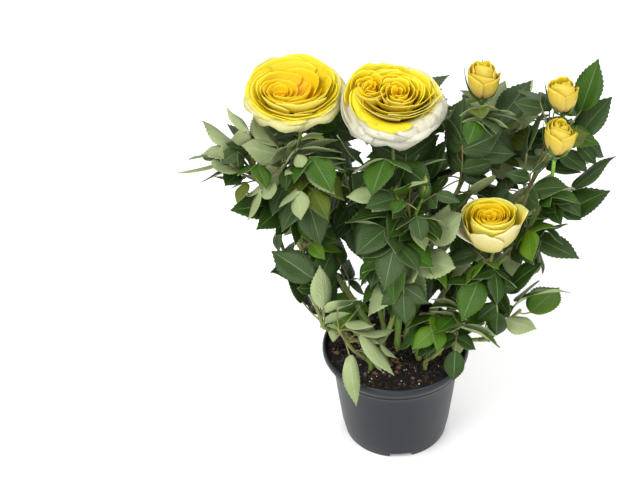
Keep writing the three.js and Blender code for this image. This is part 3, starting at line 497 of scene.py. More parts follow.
@dataclass
class Growth:
    """The seeded rule that fills the crown with leaves, and the room that they leave each other."""

    TRUNK_OWNER = -50
    STALK_OWNER = -60
    EDGE_STARTS = (0, 1, 2, 3, 0)
    EDGE_ENDS = (1, 2, 3, 0, 2)
    STEM_PIECES = 8
    AXIS_PIECES = 6
    STALK_PIECES = 4
    SHOOT_PIECES = 3
    BLADE_SEARCH = (2, 4)
    ROD_SEARCH = (1, 3)

    shape: LeafShape = field(default_factory=LeafShape)
    blade_gap: float = 0.9
    rod_gap: float = 0.6
    space_slack: float = 12
    shoot_radius: float = 1.2
    axis_radius: float = 1.8
    leaf_roll: float = 0.9
    sizes: tuple[float, ...] = (1, 0.82, 0.66)
    swings: tuple[float, ...] = (0, 18, -18, 36, -36)
    rolls: tuple[float, ...] = (0, 0.6, -0.6)
    free_rounds: tuple[tuple[int, tuple[float, ...]], ...] = (
        (3, (0,)), (3, (14, -14)), (1, (0,)), (3, (28, -28)), (1, (14, -14, 28, -28))
    )
    bases_tried: int = 6
    bases_apart: float = 9
    fewest: int = 3
    shell_count: int = 800
    deepest: float = 0.3
    first_leaflets: int = 345
    shortest_reach: float = 40.3
    flower_air: float = 3
    pot_air: Pair = (1.5, 2)
    crown_slack: float = 1.03
    stalk_radius: float = 1.5
    base_shares: Point = (0.12, 0.94, 0.08)
    below_cost: float = 0.7
    shoot_rise: float = 16
    shoot_start: float = 0.5
    shoot_leaves_room: float = 0.7
    far_tip: float = 1.2
    leaf_reach: float = 0.9
    shell_turns: float = 1.7

    def __post_init__(self) -> None:
        """Lays out the axes of the masses and the room that stems and flowers take."""
        self.levels = np.array(CROWN_LEVELS, float)
        self.blades = Rows(root=3, along=3, side=3, normal=3, length=1, width=1, middle=3)
        self.rods = Rows(a=3, b=3, radius=1, owner=1)
        self.balls = Rows(centre=3, radius=1)
        self.owners = {name: number for number, name in enumerate(MASSES)}
        self.axes = {name: mass_curve(name) for name in MASSES}
        spots = {name: curve.at(np.linspace(0, 1, self.AXIS_PIECES + 1)) for name, curve in self.axes.items()}
        self.axis_starts = np.array([s[:-1] for s in spots.values()])
        self.axis_ends = np.array([s[1:] for s in spots.values()])
        for name, plan in MASSES.items():
            stem = STEMS[plan.stem]
            curve = Curve(stem.points)
            self.add_rods(curve, max(stem.radii), -1 - self.owners[name], self.STEM_PIECES)
            self.rods["owner"][-1] = self.owners[name]
            self.add_rods(self.axes[name], self.axis_radius, self.owners[name], self.AXIS_PIECES)
        self.rods.add(a=TRUNK_FOOT, b=TRUNK_FORK, radius=TRUNK_RADII[0], owner=self.TRUNK_OWNER)
        for name in TRUNK_ARMS:
            self.rods.add(a=TRUNK_FORK, b=STEMS[name].points[0], radius=TRUNK_ARM_ROOM, owner=self.TRUNK_OWNER)
        for name, flower in FLOWERS.items():
            stretch = BUD_STRETCH if flower.radius < BUD_LARGEST else 1
            self.balls.add(centre=flower.centre, radius=flower.radius * stretch + self.flower_air)
            first = self.rods.count
            stalk = stalk_curve(name, self.axes)
            self.add_rods(stalk, self.stalk_radius + CLEAR, self.STALK_OWNER, self.STALK_PIECES)
            self.rods["owner"][first] = self.owners[flower.mass]

    def add_rods(self, curve: Curve, radius: float, owner: int, count: int) -> None:
        """Adds a curve as straight rods that belong to an owner."""
        spots = curve.at(np.linspace(0, 1, count + 1))
        for a, b in pairwise(spots):
            self.rods.add(a=a, b=b, radius=radius, owner=owner)

    def axis_distances(self, points: np.ndarray) -> np.ndarray:
        """Distances from points to the axis of each mass, as rows of points and columns of masses."""
        line = self.axis_ends - self.axis_starts
        offset = points[:, None, None] - self.axis_starts
        share = np.clip(dot(offset, line) / dot(line, line), 0, 1)
        return np.linalg.norm(offset - line * share[..., None], axis=-1).min(-1)

    def crown_at(self, z: np.ndarray) -> np.ndarray:
        """Middle and reach of the crown at heights: x, y, reach in x, reach in y."""
        return np.stack([np.interp(z, self.levels[:, 0], self.levels[:, k]) for k in range(1, 5)], -1)

    def inside_crown(self, points: np.ndarray) -> np.ndarray:
        """Whether points lie in the crown's outline."""
        level = self.crown_at(points[:, 2])
        reach = np.hypot(*((points[:, :2] - level[:, :2]) / level[:, 2:]).T)
        return (reach < self.crown_slack) & (points[:, 2] >= self.levels[0, 0]) & (points[:, 2] <= CROWN_TOP)

    def clear_of_pot(self, points: np.ndarray) -> np.ndarray:
        """Whether points keep off the pot's rim and the soil."""
        above, beside = self.pot_air
        return (points[:, 2] > POT_HEIGHT + above) | (np.hypot(points[:, 0], points[:, 1]) > POT_RIM + beside)

    def in_flower(self, spots: np.ndarray) -> bool:
        """Whether a spot for each flower, or a row of such spots, lies in that flower's room."""
        gaps = np.linalg.norm(spots - self.balls["centre"], axis=-1)
        return bool((gaps < self.balls["radius"][:, 0]).any())

    def near_rods(self, middle: np.ndarray, reach: float) -> tuple[np.ndarray, np.ndarray, np.ndarray, np.ndarray]:
        """Starts, ends, radii and owners of the rods that come within reach of a place."""
        starts, ends = self.rods["a"], self.rods["b"]
        radii, owners = self.rods["radius"][:, 0], self.rods["owner"][:, 0]
        half = np.linalg.norm(ends - starts, axis=1) / 2
        near = np.linalg.norm((starts + ends) / 2 - middle, axis=1) < reach + half + radii
        return starts[near], ends[near], radii[near], owners[near]

    def near_blades(self, middle: np.ndarray, reach: float) -> dict[str, np.ndarray]:
        """The kept leaflets that come within reach of a place, as edges_meet takes them."""
        near = np.linalg.norm(self.blades["middle"] - middle, axis=1) < self.blades["length"][:, 0] / 2 + reach
        kept = {key: self.blades[key][near] for key in Blade.__annotations__}
        return {key: rows[:, 0] if rows.shape[1] == 1 else rows for key, rows in kept.items()}

    def blade_fits(self, blade: Blade, owner: int, free: bool) -> bool:
        """Whether a new leaflet finds room.

        Args:
            blade: The leaflet.
            owner: The number of its mass.
            free: Whether it may leave the crown's outline.

        Returns:
            True if it stays in its own space and touches nothing.
        """
        corners = blade.outline()
        around = np.vstack([corners, blade.middle])
        if not self.clear_of_pot(around).all() or not (free or self.inside_crown(around).all()):
            return False
        distances = self.axis_distances(around)
        if (distances.min(1) < distances[:, owner] - self.space_slack).any():
            return False
        if self.in_flower(around[:, None]):
            return False
        half = blade.length / 2
        rods_within, blades_within = self.BLADE_SEARCH
        starts, ends, radii, _ = self.near_rods(blade.middle, half + rods_within)
        if edges_meet(vars(blade), starts, ends, radii + self.rod_gap).any():
            return False
        others = self.near_blades(blade.middle, half + blades_within)
        if not len(others["length"]):
            return True
        starts, ends = self.EDGE_STARTS, self.EDGE_ENDS
        spread = {key: rows[:, None] for key, rows in others.items()}
        if edges_meet(spread, corners[None, starts], corners[None, ends], self.blade_gap).any():
            return False
        side = others["side"] * others["width"][:, None] / 2
        waist, tips = (others["root"] + others["along"] * others["length"][:, None] * at for at in (WAIST, 1))
        outlines = np.stack([others["root"], waist + side, tips, waist - side], 1)
        return not edges_meet(vars(blade), outlines[:, starts], outlines[:, ends], self.blade_gap).any()

    def rod_fits(self, a: np.ndarray, b: np.ndarray, radius: float, owner: int) -> bool:
        """Whether a new twig from a to b finds room among flowers, leaflets and the twigs of others."""
        if not self.clear_of_pot(b[None])[0]:
            return False
        line = b - a
        share = np.clip(dot(self.balls["centre"] - a, line) / dot(line, line), 0, 1)
        if self.in_flower(a + line * share[:, None]):
            return False
        middle = (a + b) / 2
        half = np.linalg.norm(line) / 2
        rods_within, blades_within = self.ROD_SEARCH
        blades = self.near_blades(middle, half + blades_within)
        if edges_meet(blades, a[None], b[None], radius + self.rod_gap).any():
            return False
        starts, ends, radii, owners = self.near_rods(middle, half + radius + rods_within)
        starts, ends, radii = (rows[owners != owner] for rows in (starts, ends, radii))
        return not (rods_apart(a, b, starts, ends) < radius + radii + CLEAR).any()

    def plan_leaf(
        self, base: np.ndarray, tip: np.ndarray, roll: float, scale: float, pairs: int, bend: Point
    ) -> Leaf:
        """Lays out a compound leaf from its base to its tip.

        Args:
            base: Where its stalk leaves the twig.
            tip: Where its end leaflet should end.
            roll: How far it rolls about its own length, in radians.
            scale: Its size against a full-grown leaf.
            pairs: How many pairs of side leaflets it has.
            bend: How steeply its stalk rises, goes on and ends in the end leaflet, in degrees.

        Returns:
            The leaf, with all its leaflets.
        """
        shape = self.shape
        span = tip - base
        size = shape.length * scale
        aim = span
        for _ in range(shape.aims):
            chord = unit(aim)
            rising, onward, drooped = (tilted(chord, degrees) for degrees in bend)
            stretch = (dot(rising, chord) + dot(onward, chord)) / 2
            room = (np.linalg.norm(span) - size * dot(drooped, chord)) / stretch
            stalk = min(shape.longest, max(shape.shortest, room))
            aim = aim + span - (rising + onward) * stalk / 2 - drooped * size
        level = unit(np.cross(onward, UP))
        normal = turned(np.cross(level, onward), onward, math.degrees(roll))
        knee = base + rising * stalk * 0.5
        end = knee + onward * stalk * 0.5
        ratio = shape.width / shape.length
        blades = [Blade.towards(end, drooped, normal, size, size * ratio)]
        side = np.cross(normal, onward)
        for at, share, spread in shape.pairs[:pairs]:
            root = base + (knee - base) * at * 2 if at < 0.5 else knee + (end - knee) * (at * 2 - 1)
            for hand in (-1, 1):
                out = onward * math.cos(math.radians(spread))
                out = out + side * hand * math.sin(math.radians(spread))
                out = unit(out - normal * shape.sag)
                blades.append(Blade.towards(root, out, normal, size * share, size * share * ratio))
        return Leaf(np.array([base, knee, end]), normal, blades)

    def add_leaf(self, mass: Mass, leaf: Leaf, fewest: int, free: bool) -> bool:
        """Keeps a leaf with the leaflets that find room, if they are enough.

        Args:
            mass: The mass that carries it.
            leaf: The planned leaf.
            fewest: How many leaflets it needs.
            free: Whether its end leaflet may leave the crown's outline.

        Returns:
            True if the leaf was kept.
        """
        radius = self.shape.stalk_radius
        if not all(self.rod_fits(a, b, radius, mass.owner) for a, b in pairwise(leaf.points)):
            return False
        kept = []
        for order, blade in enumerate(leaf.blades):
            if self.blade_fits(blade, mass.owner, free and order == 0):
                kept.append(blade)
            elif order == 0:
                return False
        if len(kept) < fewest:
            return False
        for blade in kept:
            self.blades.add(**vars(blade), middle=blade.middle)
        for a, b in pairwise(leaf.points):
            self.rods.add(a=a, b=b, radius=radius, owner=mass.owner)
        mass.leaves.append(Leaf(leaf.points, leaf.normal, kept))
        return True

    def bases(self, mass: Mass, tip: np.ndarray) -> list[np.ndarray]:
        """The points on a mass's stem and shoots from which a leaf best reaches a tip."""
        _, last, step = self.base_shares
        spots = np.vstack([curve.at(np.arange(start, last, step)) for curve, start in mass.lines])
        distances = np.linalg.norm(spots - tip, axis=1)
        cost = distances + np.maximum(0, spots[:, 2] - tip[2]) * self.below_cost
        order = [row for row in np.argsort(cost, kind="stable") if distances[row] >= self.shortest_reach]
        found: list[np.ndarray] = []
        for spot in spots[order]:
            if all(np.linalg.norm(base - spot) > self.bases_apart for base in found):
                found.append(spot)
                if len(found) == self.bases_tried:
                    break
        return found

    def add_shoot(self, mass: Mass, base: np.ndarray, tip: np.ndarray) -> bool:
        """Grows a side shoot towards a far tip, so that a leaf can reach it."""
        span = tip - base
        length = np.linalg.norm(span) - self.shape.length - self.shape.longest * self.shoot_leaves_room
        rise = tilted(unit(span), self.shoot_rise)
        curve = Curve([base, base + rise * length * 0.5, base + unit(span) * length])
        spots = curve.at(np.linspace(0, 1, self.SHOOT_PIECES + 1))
        if not all(self.rod_fits(a, b, self.shoot_radius, mass.owner) for a, b in pairwise(spots)):
            return False
        self.add_rods(curve, self.shoot_radius, mass.owner, self.SHOOT_PIECES)
        mass.lines.append((curve, self.shoot_start))
        mass.shoots.append(curve)
        return True

    def reach_tip(self, mass: Mass, tip: np.ndarray, roll: float, free: bool) -> bool:
        """Grows towards one tip: by a side shoot first where it is far, then by a leaf.

        Args:
            mass: The mass that grows.
            tip: Where the leaf should end.
            roll: The leaf's roll, in radians.
            free: Whether the tip belongs to the crown's named outline.

        Returns:
            True if a leaf was kept.
        """
        shape = self.shape
        bases = self.bases(mass, tip)
        if not bases:
            return False
        if np.linalg.norm(tip - bases[0]) > shape.length + shape.longest * self.far_tip:
            self.add_shoot(mass, bases[0], tip)
            bases = self.bases(mass, tip)
        rounds = self.free_rounds if free else ((self.fewest, self.swings),)
        bends = shape.bends if free else shape.bends[:1]
        rolls = self.rolls if free else self.rolls[:1]
        for fewest, swings in rounds:
            for scale, bend, base, swing, more in product(self.sizes, bends, bases, swings, rolls):
                longest = (shape.length * scale + shape.longest) * self.leaf_reach
                span = turned(tip - base, UP, swing)
                span = unit(span) * min(np.linalg.norm(span), longest)
                leaf = self.plan_leaf(base, base + span, roll + more, scale, 2 if free else 1, bend)
                if self.add_leaf(mass, leaf, fewest, free):
                    return True
        return False

    def shell_tips(self, count: int, first: float, deepest: float) -> list[np.ndarray]:
        """Leaf tips spread evenly through the crown by a golden turn, the outer ones first.

        Args:
            count: How many tips.
            first: The share of the height where the first one is.
            deepest: The share of the reach where the last one is.

        Returns:
            The tips.
        """
        low = self.levels[0, 0]
        tips = []
        for i in range(count):
            z = low + (CROWN_TOP - low) * ((first + i * GOLDEN_TURN * self.shell_turns) % 1)
            angle = 2 * math.pi * ((i * GOLDEN_TURN) % 1)
            share = 1 - (1 - deepest) * (i / count)
            x, y, rx, ry = self.crown_at(np.array(z))
            tips.append(np.array([x + rx * share * math.cos(angle), y + ry * share * math.sin(angle), z]))
        return tips

    def grow(self, total: int) -> list[Mass]:
        """Fills all masses: the named tips first, the crown's shell next, then finer leaves between.

        Args:
            total: How many leaflets the whole crown gets.

        Returns:
            The grown masses.
        """
        masses = []
        for name, plan in MASSES.items():
            axis = self.axes[name]
            lines = [(axis, self.base_shares[0])]
            masses.append(Mass(name, self.owners[name], axis, SeededNumbers(plan.seed), lines=lines))
        for mass in masses:
            for tip in MASSES[mass.name].tips:
                self.reach_tip(mass, np.array(tip, float), (mass.numbers.draw() - 0.5) * self.leaf_roll, True)
        self.fill(masses, self.shell_tips(self.shell_count, 0.5, self.deepest), self.first_leaflets)
        for finer in FINER_PASSES:
            self.blade_gap, self.rod_gap, self.fewest = finer.gap, finer.gap / 2, finer.fewest
            self.sizes, self.swings = finer.sizes, finer.swings
            self.bases_tried, self.shortest_reach = finer.bases, finer.nearest
            self.shape = replace(self.shape, shortest=finer.stalk)
            self.fill(masses, self.shell_tips(finer.tips, finer.first, finer.deepest), total)
        return masses

    def fill(self, masses: list[Mass], tips: Iterable[np.ndarray], limit: int) -> None:
        """Grows leaves towards tips, each from the nearest mass, up to a number of leaflets."""
        for tip in tips:
            mass = masses[int(self.axis_distances(tip[None])[0].argmin())]
            self.reach_tip(mass, tip, (mass.numbers.draw() - 0.5) * self.leaf_roll, False)
            if self.blades.count >= limit:
                break


def mass_curve(name: str) -> Curve:
    """The axis of a mass: it goes on from its stem's tip, a little clear of it."""
    plan = MASSES[name]
    stem = Curve(STEMS[plan.stem].points)
    tangent = stem.tangent(1)
    start = stem.point(1) + tangent * CLEAR
    return Curve([start, start + tangent * AXIS_LEAD, *plan.path])


def stalk_curve(name: str, axes: dict[str, Curve]) -> Curve:
    """A flower's stalk: it goes on from its mass's axis and enters the head along the head's own axis."""
    flower = FLOWERS[name]
    axis = axes[flower.mass]
    tangent = axis.tangent(1)
    foot = axis.point(1) + tangent * CLEAR
    neck = np.array(flower.centre) + unit(np.array(flower.faces, float)) * (flower.foot * flower.radius)
    return Curve([foot, foot + tangent * np.linalg.norm(neck - foot) * STALK_LEAD, neck])


SURFACE = "surface"
SURFACE_STEP = 20.0
END_BULGE = 0.3


class MeshMaker:
    """Collects points, faces and surface coordinates, and makes one object of them."""

    def __init__(self) -> None:
        """Starts empty."""
        lists: tuple[list[np.ndarray], ...] = ([], [], [], [], [])
        self.points, self.corners, self.sizes, self.finishes, self.surface = lists
        self.count = 0
        self.triangles = 0

    def add(self, points: np.ndarray, surface: np.ndarray, *groups: tuple[np.ndarray, int | np.ndarray]) -> None:
        """Adds points and the faces on them.

        Args:
            points: Points in millimetres.
            surface: A surface coordinate for each point.
            groups: Faces of one size as rows of indices into the points, each group with its material's number.
        """
        for faces, finish in groups:
            self.corners.append((faces + self.count).ravel())
            self.sizes.append(np.full(len(faces), faces.shape[1]))
            self.finishes.append(np.broadcast_to(finish, len(faces)))
            self.surface.append(surface[faces.ravel()])
            self.triangles += len(faces) * (faces.shape[1] - 2)
        self.points.append(points)
        self.count += len(points)

    def build(self, name: str, slot: Slot, replaces: Sequence[str], finishes: Sequence[bpy.types.Material]) -> None:
        """Makes the object, which rides on the one body.

        Args:
            name: The piece's name.
            slot: The record's slot; not used.
            replaces: The nodes that it stands for.
            finishes: Its materials, in the order of their numbers.
        """
        corners = np.concatenate(self.corners)
        sizes = np.concatenate(self.sizes)
        mesh = bpy.data.meshes.new(name)
        mesh.vertices.add(self.count)
        mesh.vertices.foreach_set("co", (np.vstack(self.points) * MM).ravel())
        mesh.loops.add(len(corners))
        mesh.loops.foreach_set("vertex_index", corners)
        mesh.polygons.add(len(sizes))
        mesh.polygons.foreach_set("loop_start", np.concatenate([[0], np.cumsum(sizes)[:-1]]))
        mesh.polygons.foreach_set("material_index", np.concatenate(self.finishes))
        mesh.polygons.foreach_set("use_smooth", np.ones(len(sizes), bool))
        mesh.uv_layers.new(name=SURFACE).data.foreach_set("uv", np.vstack(self.surface).ravel())
        mesh.update(calc_edges=True)
        if mesh.validate():
            log.warning("%s had faces that were mended", name)
        for finish in finishes:
            mesh.materials.append(finish)
        mount(in_scene(name, mesh), replaces)
        log.info("%s: %d triangles", name, self.triangles)


def in_scene(name: str, data: bpy.types.ID) -> bpy.types.Object:
    """A new object in the scene, with its data."""
    made = bpy.data.objects.new(name, data)
    bpy.context.scene.collection.objects.link(made)
    return made


def mount(piece: bpy.types.Object, replaces: Sequence[str]) -> None:
    """Puts a piece on the one body and hides the nodes that it stands for."""
    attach(piece, "root")
    if replaces:
        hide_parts(*replaces)


def grid_faces(rows: int, columns: int) -> np.ndarray:
    """Quads of a grid of points, row by row."""
    first = (np.arange(rows - 1)[:, None] * columns + np.arange(columns - 1)).ravel()
    return np.stack([first, first + 1, first + columns + 1, first + columns], 1)


def shell(
    maker: MeshMaker,
    grid: np.ndarray,
    normals: np.ndarray,
    thickness: np.ndarray | float,
    surface: np.ndarray,
    faces_front: np.ndarray | int,
    back: int,
) -> None:
    """Adds a closed thin shell under a grid of points.

    Args:
        maker: The mesh that takes it.
        grid: Points as rows and columns; the front looks along the normals.
        normals: A unit normal for each point.
        thickness: How far the back lies behind the front.
        surface: A surface coordinate for each point.
        faces_front: The front's material, for all faces or for each.
        back: The back's material, also round the edge.
    """
    rows, columns = grid.shape[:2]
    size = rows * columns
    depth = np.broadcast_to(thickness, (rows, columns))[..., None]
    points = np.vstack([grid.reshape(-1, 3), (grid - normals * depth).reshape(-1, 3)])
    quads = grid_faces(rows, columns)
    number = np.arange(size).reshape(rows, columns)
    rim = np.concatenate([number[0], number[1:, -1], number[-1, -2::-1], number[-2:0:-1, 0]])
    onward = np.roll(rim, -1)
    edge = np.stack([onward, rim, rim + size, onward + size], 1)
    faces = np.vstack([quads, quads[:, ::-1] + size, edge])
    finish = np.concatenate([np.broadcast_to(faces_front, len(quads)), np.full(len(quads) + len(edge), back)])
    maker.add(points, np.vstack([surface.reshape(-1, 2)] * 2), (faces, finish))


def grid_normals(grid: np.ndarray) -> np.ndarray:
    """Unit normals of a grid of points, columns to the right and rows upwards as seen from the front."""
    normals = np.cross(np.gradient(grid, axis=1), np.gradient(grid, axis=0))
    return normals / np.maximum(np.linalg.norm(normals, axis=-1, keepdims=True), TINY)


def ring_faces(rows: int, sides: int) -> tuple[np.ndarray, np.ndarray]:
    """Faces of a closed wall of rings of points, with one more point in the middle of each end.

    Args:
        rows: How many rings.
        sides: How many points each has.

    Returns:
        The wall's quads, and the triangles of the two ends.
    """
    ring = np.arange(sides)
    following = (ring + 1) % sides
    base = (np.arange(rows - 1) * sides)[:, None]
    quads = np.stack([base + ring, base + following, base + sides + following, base + sides + ring], -1)
    last, middle = (rows - 1) * sides, np.full(sides, rows * sides)
    low = np.stack([following, ring, middle], 1)
    high = np.stack([last + ring, last + following, middle + 1], 1)
    return quads.reshape(-1, 4), np.vstack([low, high])


def tube(
    maker: MeshMaker,
    spots: np.ndarray,
    radii: np.ndarray,
    sides: int,
    finish: int,
    relief: np.ndarray | None = None,
) -> None:
    """Adds a closed tube along spots.

    Args:
        maker: The mesh that takes it.
        spots: Points along the middle, in millimetres.
        radii: A radius for each.
        sides: How many sides the tube has.
        finish: Its material's number.
        relief: How much each point of the wall stands out, as rows of sides, or None.
    """
    steps = np.gradient(spots, axis=0)
    steps /= np.linalg.norm(steps, axis=1, keepdims=True)
    across = unit(np.cross(steps[0], ANY_WAY))
    frames = []
    for step in steps:
        across = unit(across - step * dot(across, step))
        frames.append(across)
    first = np.array(frames)
    second = np.cross(steps, first)
    angles = np.arange(sides) * 2 * math.pi / sides
    out = first[:, None] * np.cos(angles)[:, None] + second[:, None] * np.sin(angles)[:, None]
    reach = radii[:, None] + (0 if relief is None else relief)
    wall = spots[:, None] + out * reach[..., None]
    ends = np.array([spots[0] - steps[0] * radii[0] * END_BULGE, spots[-1] + steps[-1] * radii[-1] * END_BULGE])
    points = np.vstack([wall.reshape(-1, 3), ends])
    length = np.concatenate([[0], np.cumsum(np.linalg.norm(np.diff(spots, axis=0), axis=1))])
    turn, along = np.meshgrid(np.arange(sides) / sides, length / SURFACE_STEP)
    surface = np.vstack([np.stack([turn, along], -1).reshape(-1, 2), [[0, 0], [0, along.max()]]])
    quads, caps = ring_faces(len(spots), sides)
    maker.add(points, surface, (quads, finish), (caps, finish))


class Wiring:
    """Adds and joins the nodes of one tree."""

    def __init__(self, tree: bpy.types.NodeTree) -> None:
        """Works on the given tree."""
        self.tree = tree

    def add(self, kind: str, inputs: dict[str | int, object] | None = None, **settings: object) -> bpy.types.Node:
        """Adds a node.

        Args:
            kind: The node's type.
            inputs: Values or sockets for its inputs, by name or number.
            settings: Its other settings.

        Returns:
            The node.
        """
        node = self.tree.nodes.new(kind)
        for key, value in settings.items():
            setattr(node, key, value)
        self.put(node, inputs or {})
        return node

    def put(self, node: bpy.types.Node, inputs: dict[str | int, object]) -> None:
        """Leads values or sockets to a node's inputs, by name or number."""
        for key, value in inputs.items():
            self.join(value, node.inputs[key])

    def join(self, value: object, socket: bpy.types.NodeSocket) -> None:
        """Joins a socket to an input, or sets the input's own value."""
        if isinstance(value, bpy.types.NodeSocket):
            self.tree.links.new(value, socket)
        else:
            socket.default_value = value

    def math(self, operation: str, *values: object) -> bpy.types.NodeSocket:
        """A mathematical step on one to three values."""
        return self.add("ShaderNodeMath", dict(enumerate(values)), operation=operation).outputs[0]

    def mix(self, share: object, first: object, second: object) -> bpy.types.NodeSocket:
        """A mixed colour."""
        return self.add("ShaderNodeMix", {0: share, 6: first, 7: second}, data_type="RGBA").outputs[2]

    def span(self, value: object, low: object, high: object, *reached: object) -> bpy.types.NodeSocket:
        """A value carried from one span onto 0 to 1, or onto the span that is given."""
        start, end = reached or (0.0, 1.0)
        return self.add("ShaderNodeMapRange", {0: value, 1: low, 2: high, 3: start, 4: end}).outputs[0]

    def noise(self, scale: object, detail: object, place: object = None) -> bpy.types.NodeSocket:
        """Noise over the object's own space, or over the place that is given."""
        place = place or self.add("ShaderNodeTexCoord").outputs["Object"]
        return self.add("ShaderNodeTexNoise", {"Vector": place, "Scale": scale, "Detail": detail}).outputs["Fac"]

    def surface(self) -> tuple[bpy.types.NodeSocket, bpy.types.NodeSocket]:
        """The two surface coordinates: across and along."""
        place = self.add("ShaderNodeUVMap", uv_map=SURFACE).outputs[0]
        parts = self.add("ShaderNodeSeparateXYZ", {0: place}).outputs
        return parts[0], parts[1]


def colour(red: float, green: float, blue: float) -> Colour:
    """A colour from its 0 to 255 display values."""
    steps = [v / 255 for v in (red, green, blue)]
    linear = [v / 12.92 if v <= 0.04045 else ((v + 0.055) / 1.055) ** 2.4 for v in steps]
    return (linear[0], linear[1], linear[2], 1.0)


PLAIN = (1.0, 1.0, 1.0, 1.0)


class Effect(Enum):
    """The effects that several materials share."""

    MOTTLE = "mottle"
    VEINS = "leaf_veins"
    GRAIN = "fine_grain"
    WASH = "petal_wash"


class Effects:
    """Builds each shared effect once, as a shader node group."""

    def __init__(self) -> None:
        """Starts with no effect built."""
        self.built: dict[Effect, bpy.types.NodeTree] = {}

    def use(self, wiring: Wiring, effect: Effect, **inputs: object) -> bpy.types.Node:
        """Places an effect in a material.

        Args:
            wiring: The material's wiring.
            effect: Which effect.
            inputs: Its values, by socket name.

        Returns:
            The placed group.
        """
        if effect not in self.built:
            makers = {
                Effect.MOTTLE: self.mottle, Effect.VEINS: self.veins, Effect.GRAIN: self.grain, Effect.WASH: self.wash
            }
            self.built[effect] = makers[effect]()
        return wiring.add("ShaderNodeGroup", inputs, node_tree=self.built[effect])

    @staticmethod
    def group(effect: Effect, inputs: dict[str, object], *outputs: str) -> tuple[Wiring, object, object]:
        """Starts a group with its sockets.

        Args:
            effect: The effect.
            inputs: Default values by name; a tuple makes a colour socket.
            outputs: Names of what it puts out; "Color" makes a colour socket.

        Returns:
            Its wiring, the sockets of its input node and its output node.
        """
        tree = bpy.data.node_groups.new(effect.value, "ShaderNodeTree")
        for name, value in inputs.items():
            kind = "NodeSocketColor" if isinstance(value, tuple) else "NodeSocketFloat"
            tree.interface.new_socket(name, in_out="INPUT", socket_type=kind).default_value = value
        for name in outputs:
            kind = "NodeSocketColor" if name == "Color" else "NodeSocketFloat"
            tree.interface.new_socket(name, in_out="OUTPUT", socket_type=kind)
        wiring = Wiring(tree)
        return wiring, wiring.add("NodeGroupInput").outputs, wiring.add("NodeGroupOutput")

    def mottle(self) -> bpy.types.NodeTree:
        """Two colours mixed in soft patches."""
        inputs = {"Scale": 60.0, "Low": PLAIN, "High": PLAIN, "Softness": 0.3}
        wiring, given, out = self.group(Effect.MOTTLE, inputs, "Color", "Mask")
        noise = wiring.noise(given["Scale"], 4.0)
        low, high = (wiring.math(way, 0.5, given["Softness"]) for way in ("SUBTRACT", "ADD"))
        mask = wiring.span(noise, low, high)
        wiring.put(out, {"Color": wiring.mix(mask, given["Low"], given["High"]), "Mask": mask})
        return wiring.tree

    def veins(self) -> bpy.types.NodeTree:
        """A middle vein and side veins that run forward from it, along the surface coordinates."""
        inputs = {"Count": 7.0, "Slope": 0.5, "Width": 0.1, "Wander": 0.05}
        wiring, given, out = self.group(Effect.VEINS, inputs, "Mask", "Height")
        across, along = wiring.surface()
        side = wiring.math("ABSOLUTE", wiring.math("MULTIPLY_ADD", across, 2.0, -1.0))
        back = wiring.math("MULTIPLY", side, given["Slope"])
        uneven = wiring.math("SUBTRACT", wiring.noise(130.0, 1.0), 0.5)
        bent = wiring.math("MULTIPLY_ADD", uneven, given["Wander"], back)
        run = wiring.math("MULTIPLY", wiring.math("SUBTRACT", along, bent), given["Count"])
        wave = wiring.math("PINGPONG", run, 0.5)
        thin = wiring.math("MULTIPLY", given["Width"], wiring.math("SUBTRACT", 1.15, side))
        line = wiring.span(wave, 0.0, thin, 1.0, 0.0)
        mask = wiring.math("MAXIMUM", line, wiring.span(side, 0.02, 0.07, 1.0, 0.0))
        puff = wiring.math("MULTIPLY", wiring.math("SINE", wiring.math("MULTIPLY", wave, math.pi)), 0.7)
        height = wiring.math("SUBTRACT", puff, wiring.math("MULTIPLY", mask, 0.5))
        wiring.put(out, {"Mask": mask, "Height": height})
        return wiring.tree

    def grain(self) -> bpy.types.NodeTree:
        """Fine unevenness."""
        inputs = {"Scale": 900.0, "Detail": 3.0, "Low": 0.3, "High": 0.5}
        wiring, given, out = self.group(Effect.GRAIN, inputs, "Height", "Roughness")
        noise = wiring.noise(given["Scale"], given["Detail"])
        wiring.put(out, {"Height": noise, "Roughness": wiring.span(noise, 0.3, 0.7, given["Low"], given["High"])})
        return wiring.tree

    def wash(self) -> bpy.types.NodeTree:
        """A petal's colours from its foot to its lip, with fine streaks along it. The deeper orange foot is partly the
        petal's own colour and partly painted shade, the warm tone of the shaded folds.
        """
        inputs = {"Foot": PLAIN, "Body": PLAIN, "Lip": PLAIN, "Reach": 0.45}
        wiring, given, out = self.group(Effect.WASH, inputs, "Color", "Height")
        across, along = wiring.surface()
        stretched = {0: wiring.math("MULTIPLY", across, 26.0), 1: wiring.math("MULTIPLY", along, 1.6)}
        streaks = wiring.noise(1.0, 3.0, wiring.add("ShaderNodeCombineXYZ", stretched).outputs[0])
        uneven = wiring.math("MULTIPLY_ADD", wiring.math("SUBTRACT", streaks, 0.5), 0.22, along)
        body = wiring.mix(wiring.span(uneven, 0.0, given["Reach"]), given["Foot"], given["Body"])
        lip = wiring.mix(wiring.span(uneven, given["Reach"], 1.0), body, given["Lip"])
        wiring.put(out, {"Color": lip, "Height": streaks})
        return wiring.tree


EFFECTS = Effects()


